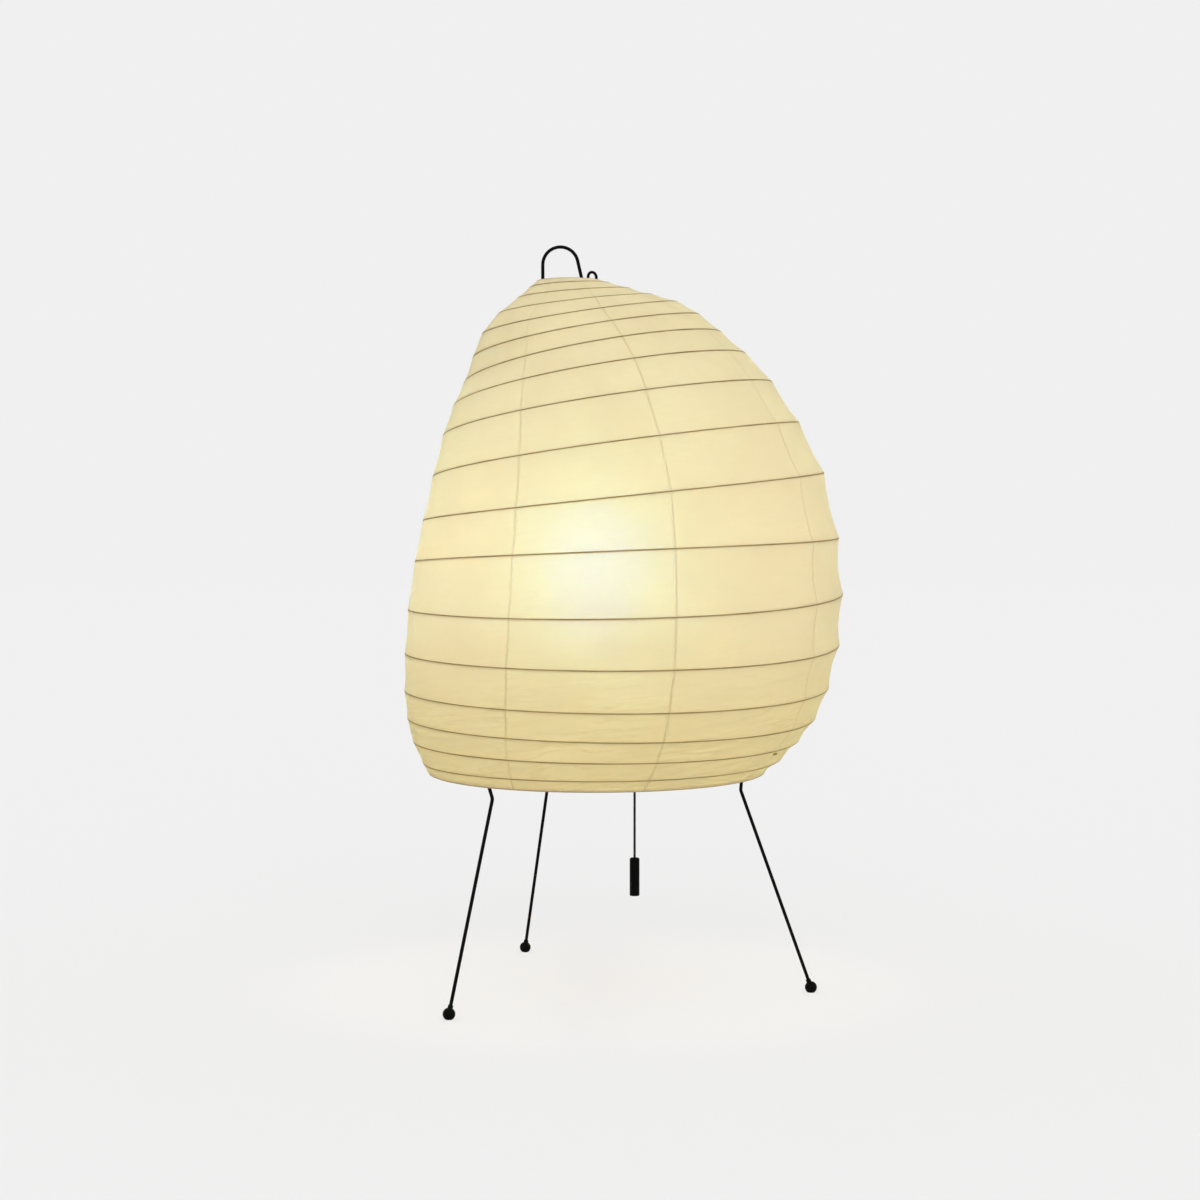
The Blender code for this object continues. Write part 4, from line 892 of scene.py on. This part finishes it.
def make_top_hook():
    """A small curl of wire that rises inside the top hoop and ends on the paper outside it."""
    level = TOP_LEVEL - HOOP_INSET_LEVEL
    hoop = hoop_point(level, HOOK_AZIMUTH)
    outward = Vector((math.sin(HOOK_AZIMUTH), -math.cos(HOOK_AZIMUTH), 0.0))
    shoulder = hoop_point(level, math.pi / 2).z - HOOP_RADIUS - GAP - WIRE_RADIUS
    inner = hoop - HOOK_INSIDE * outward
    outer = shade_point(TOP_LEVEL - HOOK_TIP_LEVEL, HOOK_AZIMUTH)
    corners = (
        (inner.x, WIRE_RADIUS + GAP, shoulder),
        (inner.x, inner.y, shoulder),
        (inner.x, inner.y, HOOK_TOP),
        (outer.x, outer.y, HOOK_TOP),
        (outer.x, outer.y, outer.z + HOOK_RADIUS + GAP),
    )
    curl = (outer.xy - inner.xy).length / 2 - BEND_SLACK
    points = round_corners(corners, (HOOK_BEND, curl, curl))
    dress(wire("wire_hook", points, HOOK_RADIUS), "black_wire", "lamp_frame", "top_hook")


for leg_side, leg_degrees in LEG_AZIMUTHS.items():
    make_leg(leg_side, leg_degrees)
make_stand_ring()
make_stretcher()
make_top_hook()


# Pull cord and pull

def make_pull():
    """The hanging cord, from the rod's end into the bore of its pull."""
    low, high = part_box("pull_cord")
    x = (low.x + high.x) / 2
    count = 24
    points = [(x, 0.0, high.z + (low.z - high.z) * k / (count - 1)) for k in range(count)]
    cord = wire("braided_cord", points, CORD_RADIUS, resolution=2)
    dress(cord, "black_cord", "pull", "pull_cord")
    low_pull, high_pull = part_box("cord_pull")
    radius = (high_pull.x - low_pull.x) / 2
    top = high_pull.z
    bottom = low_pull.z
    floor = top - PULL_BORE_DEPTH
    bore = CORD_RADIUS + GAP
    bevel = 0.0003
    profile = [(0.0, floor), (bore, floor), (bore, top - bevel), (bore + bevel, top)]
    steps = 6
    for step in range(steps + 1):
        angle = math.pi / 2 * step / steps
        across = radius - PULL_EDGE + PULL_EDGE * math.sin(angle)
        profile.append((across, top - PULL_EDGE + PULL_EDGE * math.cos(angle)))
    profile += [(radius, bottom + bevel), (radius - bevel, bottom), (0.0, bottom)]
    pull = turned("pull_grip", profile, (x, 0.0, 0.0), 48)
    dress(pull, "black_pull", "pull", "cord_pull")


make_pull()


# Bulb

def make_bulb():
    """The frosted globe: a neck that swells into a ball."""
    low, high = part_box("bulb_glass")
    radius = (high.x - low.x) / 2
    equator = high.z - radius
    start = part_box("bulb_cap")[1].z + GAP
    outline = [(BULB_NECK_RADIUS, low.z)]
    lower_steps, upper_steps = 24, 18
    for step in range(lower_steps + 1):
        share = step / lower_steps
        swell = math.sin(math.pi / 2 * share) ** 1.35
        across = BULB_NECK_RADIUS + (radius - BULB_NECK_RADIUS) * swell
        outline.append((across, start + (equator - start) * share))
    for step in range(1, upper_steps + 1):
        angle = math.pi / 2 * step / upper_steps
        outline.append((radius * math.cos(angle), equator + radius * math.sin(angle)))
    outline[-1] = (0.0, high.z)
    inner = []
    for ring, height in reversed(outline):
        if ring < BULB_GLASS:
            inner.append((ring, height - BULB_GLASS))
        else:
            inner.append((ring - BULB_GLASS, height))
    glass = turned("bulb_globe", outline + inner, steps=64)
    dress(glass, "frosted_glass", "bulb", "bulb_glass")


def make_bulb_cap():
    """The bulb's plated base: a thin wall rolled into a screw thread."""
    low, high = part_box("bulb_cap")
    radius = (high.x - low.x) / 2
    wall = BULB_CAP_WALL
    taper = low.z + BULB_CAP_TAPER
    rows = 36
    heights = [high.z + (taper - high.z) * k / rows for k in range(rows + 1)]
    profile = [(radius, height) for height in heights]
    profile += [(BULB_CAP_FOOT_RADIUS, low.z), (BULB_CAP_MOUTH, low.z), (BULB_CAP_MOUTH, low.z + wall)]
    profile += [(BULB_CAP_FOOT_RADIUS - wall / 2, low.z + wall)]
    profile += [(radius - wall, max(height, taper + wall / 2)) for height in reversed(heights)]
    cap = turned("bulb_screw_base", profile, steps=64)
    plain_rim = 0.0035
    press_thread(cap, taper, high.z - plain_rim, pitch=0.00363, depth=0.00050, beyond=radius - 2 * wall)
    dress(cap, "nickel", "bulb", "bulb_cap")


def press_thread(obj, low, high, pitch, depth, beyond):
    """Roll a screw thread into the wall of a turned piece, between two heights."""
    for vert in obj.data.vertices:
        radius = vert.co.xy.length
        if radius > beyond and low < vert.co.z < high:
            turn = math.atan2(vert.co.y, vert.co.x) / math.tau
            wave = 0.5 - 0.5 * math.cos(math.tau * (vert.co.z / pitch - turn))
            fade = smooth(low, low + pitch / 2, vert.co.z)
            fade *= 1.0 - smooth(high - pitch / 2, high, vert.co.z)
            vert.co.xy *= 1.0 - depth * wave * fade / radius


make_bulb()
make_bulb_cap()


# Lampholder

def grooves(radius, depth, top, bottom, pitch):
    """Outline of a threaded outside, from top to bottom."""
    count = int((top - bottom) / pitch)
    start = top - (top - bottom - count * pitch) / 2
    outline = [(radius, top)]
    for k in range(count):
        crest = start - k * pitch
        outline += [(radius, crest - 0.28 * pitch), (radius - depth, crest - 0.50 * pitch)]
        outline += [(radius, crest - 0.72 * pitch)]
    return outline + [(radius, bottom)]


def reach(node):
    """Outer radius, lowest and highest level of a turned solid."""
    low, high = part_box(node)
    return (high.x - low.x) / 2, low.z, high.z


def make_lampholder():
    """The lampholder's cup with two fine lines, its sleeve with a threaded neck, and its fluted ring."""
    radius, bottom, top = reach("socket_cap")
    shoulder = bottom + CAP_SHOULDER_HEIGHT
    line_depth = 0.0004
    cap = [(radius, top)]
    for line in (top - 0.0046, top - 0.0064):
        cap += [(radius, line), (radius - line_depth, line - line_depth), (radius, line - 2 * line_depth)]
    cap += [(radius, shoulder), (CAP_FOOT_RADIUS, bottom)]
    cap += [(NIPPLE_HOLE, bottom), (NIPPLE_HOLE, bottom + CAP_WALL)]
    cap += [(CAP_FOOT_RADIUS - CAP_WALL / 2, bottom + CAP_WALL)]
    cap += [(radius - CAP_WALL, shoulder), (radius - CAP_WALL, top)]
    dress(turned("holder_cup", cap, edge=0.0007), "phenolic", "lamp_frame", "socket_cap")

    radius, bottom, top = reach("socket_shell")
    step = top - SHELL_NECK_HEIGHT
    slope = step - SHELL_NECK_STEP
    neck = radius - SHELL_NECK_STEP
    bevel = 0.0006
    edge = 0.0005
    shell = [(neck - bevel, top)] + grooves(neck, 0.0005, top - bevel, step + 0.0004, 0.0016)
    shell += [(radius, slope), (radius, bottom + edge), (radius - edge, bottom)]
    shell += [(radius - SHELL_WALL, bottom)]
    shell += [(radius - SHELL_WALL, slope), (neck - SHELL_WALL, step), (neck - SHELL_WALL, top)]
    dress(turned("holder_sleeve", shell), "phenolic", "lamp_frame", "socket_shell")

    radius, bottom, top = reach("shell_ring")
    bore = radius - RING_WALL
    edge = 0.0009
    lip = 0.0003
    ring = [(radius - edge, top), (radius, top - edge), (radius, bottom + edge), (radius - edge, bottom)]
    ring += [(bore + lip, bottom), (bore, bottom + lip), (bore, top - lip), (bore + lip, top)]
    dress(turned("holder_ring", ring, steps=96, flutes=0.0006), "phenolic", "lamp_frame", "shell_ring")


def make_fixings():
    """The threaded tube with its washer and inlet bush, and the eyelet that guides the pull rod."""
    radius, bottom, top = reach("nipple")
    nipple = grooves(radius, 0.0004, top, bottom, 0.0010) + [(NIPPLE_BORE, bottom), (NIPPLE_BORE, top)]
    dress(turned("threaded_tube", nipple, steps=48), "zinc", "lamp_frame", "nipple")

    radius, bottom, top = reach("washer")
    washer = [(radius, top), (radius, bottom), (NIPPLE_HOLE, bottom), (NIPPLE_HOLE, top)]
    dress(turned("flat_washer", washer, edge=0.0003), "zinc", "lamp_frame", "washer")

    radius, bottom, top = reach("cord_gland")
    flange = bottom + GLAND_FLANGE_THICKNESS
    edge = 0.0010
    flare = 0.0012
    gland = [(GLAND_SPIGOT_RADIUS, top), (GLAND_SPIGOT_RADIUS, flange), (radius, flange)]
    gland += [(radius, bottom + edge), (radius - edge, bottom)]
    gland += [(GLAND_BORE + flare, bottom), (GLAND_BORE, bottom + flare), (GLAND_BORE, top)]
    dress(turned("inlet_bush", gland, edge=0.0002), "phenolic", "lamp_frame", "cord_gland")

    low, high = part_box("cord_guide")
    flange = low.z + GUIDE_FLANGE_THICKNESS
    edge = 0.0005
    flare = 0.0006
    guide = [(GUIDE_SLEEVE_RADIUS, high.z), (GUIDE_SLEEVE_RADIUS, flange), (GUIDE_FLANGE_RADIUS, flange)]
    guide += [(GUIDE_FLANGE_RADIUS, low.z + edge), (GUIDE_FLANGE_RADIUS - edge, low.z)]
    guide += [(GUIDE_BORE + flare, low.z), (GUIDE_BORE, low.z + flare), (GUIDE_BORE, high.z)]
    centre = ((low.x + high.x) / 2, 0.0, 0.0)
    dress(turned("cord_eyelet", guide, centre, 48, 0.0002), "brass", "lamp_frame", "cord_guide")


def make_spring():
    """The switch's return spring as a still coil; on the lamp it shortens as the cord is pulled."""
    low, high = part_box("return_spring")
    per_turn = 28
    steps = SPRING_TURNS * per_turn
    x = (low.x + high.x) / 2
    radius = (high.x - low.x) / 2 - SPRING_WIRE_RADIUS
    start = low.z + SPRING_WIRE_RADIUS
    climb = high.z - low.z - 2 * SPRING_WIRE_RADIUS
    points = []
    for step in range(steps + 1):
        angle = math.tau * step / per_turn
        points.append((x + radius * math.cos(angle), radius * math.sin(angle), start + climb * step / steps))
    coil = wire("coil_curve", points, SPRING_WIRE_RADIUS, resolution=2)
    mesh = bpy.data.meshes.new_from_object(coil.evaluated_get(bpy.context.evaluated_depsgraph_get()))
    bpy.data.objects.remove(coil)
    mesh.materials.clear()
    spring = add_object("coil_spring", mesh)
    dress(spring, "zinc", "lamp_frame", "return_spring")
    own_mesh(spring)


def finish_solids():
    """The solids that stay in sight get their finish and soft edges."""
    slots = {part["node"]: part["material_slot"] for part in frame["record"]["subparts"]}
    for name, node in frame["nodes"].items():
        if node.hide_render:
            continue
        node.data.materials.clear()
        node.data.materials.append(MATERIALS[slots[name]])
        node.data.shade_smooth()
        weld = node.modifiers.new("joined_points", "WELD")
        weld.merge_threshold = 1e-6
        soften(node, 0.00025, harden=True)


make_lampholder()
make_fixings()
make_spring()
finish_solids()


# Floor, light and camera

def make_world():
    """Even light from all round; camera, metal and glass see the plain pale background."""
    s = Shader(bpy.data.worlds.new("studio"), "OutputWorld")
    path = s.add("LightPath")
    seen = s.calc("MAXIMUM", path.outputs["Is Camera Ray"], path.outputs["Is Glossy Ray"])
    seen = s.calc("MAXIMUM", seen, path.outputs["Is Transmission Ray"])
    light = s.add("Background", {"Color": rgb(1.0, 1.0, 1.0), "Strength": WORLD_LIGHT})
    plain = s.add("Background", {"Color": rgb(BACKGROUND, BACKGROUND, BACKGROUND)})
    sky = s.add("MixShader", {0: seen, 1: light.outputs[0], 2: plain.outputs[0]})
    bpy.context.scene.world = s.done(sky.outputs[0])


def make_floor():
    """A pale floor that keeps a faint shadow, has the colour of the background and is clear from below."""
    s = new_shader("pale_floor")
    plain = s.add("BsdfDiffuse", {"Color": rgb(FLOOR_ALBEDO, FLOOR_ALBEDO, FLOOR_ALBEDO)})
    light = s.add("Emission", {"Color": rgb(BACKGROUND, BACKGROUND, BACKGROUND), "Strength": 1.0})
    share = s.calc("MULTIPLY", s.add("LightPath").outputs["Is Camera Ray"], 0.72)
    top = s.add("MixShader", {0: share, 1: plain.outputs[0], 2: light.outputs[0]})
    underside = s.add("NewGeometry").outputs["Backfacing"]
    surface = s.add("MixShader", {0: underside, 1: top.outputs[0], 2: s.add("BsdfTransparent").outputs[0]})
    mesh = bpy.data.meshes.new("floor")
    half = 40.0
    corners = [(-half, -half, 0), (half, -half, 0), (half, half, 0), (-half, half, 0)]
    mesh.from_pydata(corners, [], [(0, 1, 2, 3)])
    floor = add_object("floor", mesh)
    mesh.materials.append(s.done(surface.outputs[0]))


def make_key_light():
    """A soft light from the front, a little above and to the right."""
    light = bpy.data.lights.new("soft_key", "SUN")
    light.energy = KEY_LIGHT
    light.angle = math.radians(50.0)
    key = add_object("soft_key", light)
    key.rotation_euler = (math.radians(59.0), math.radians(7.0), 0.0)


def make_camera():
    """The photograph's view: 1.3 m away and a little above the middle of the lamp."""
    focal_pixels = 2212.0
    pixels_down = 25.0
    pixels_right = 4.5
    data = bpy.data.cameras.new("camera")
    data.sensor_width = 36.0
    data.lens = 66.36
    camera = add_object("camera", data)
    camera.location = (STAND_X, -1.30, 0.242)
    camera.rotation_euler = (math.pi / 2 - pixels_down / focal_pixels, 0.0, -pixels_right / focal_pixels)
    bpy.context.scene.camera = camera


make_world()
make_floor()
make_key_light()
make_camera()
bpy.context.scene.view_settings.view_transform = "Standard"
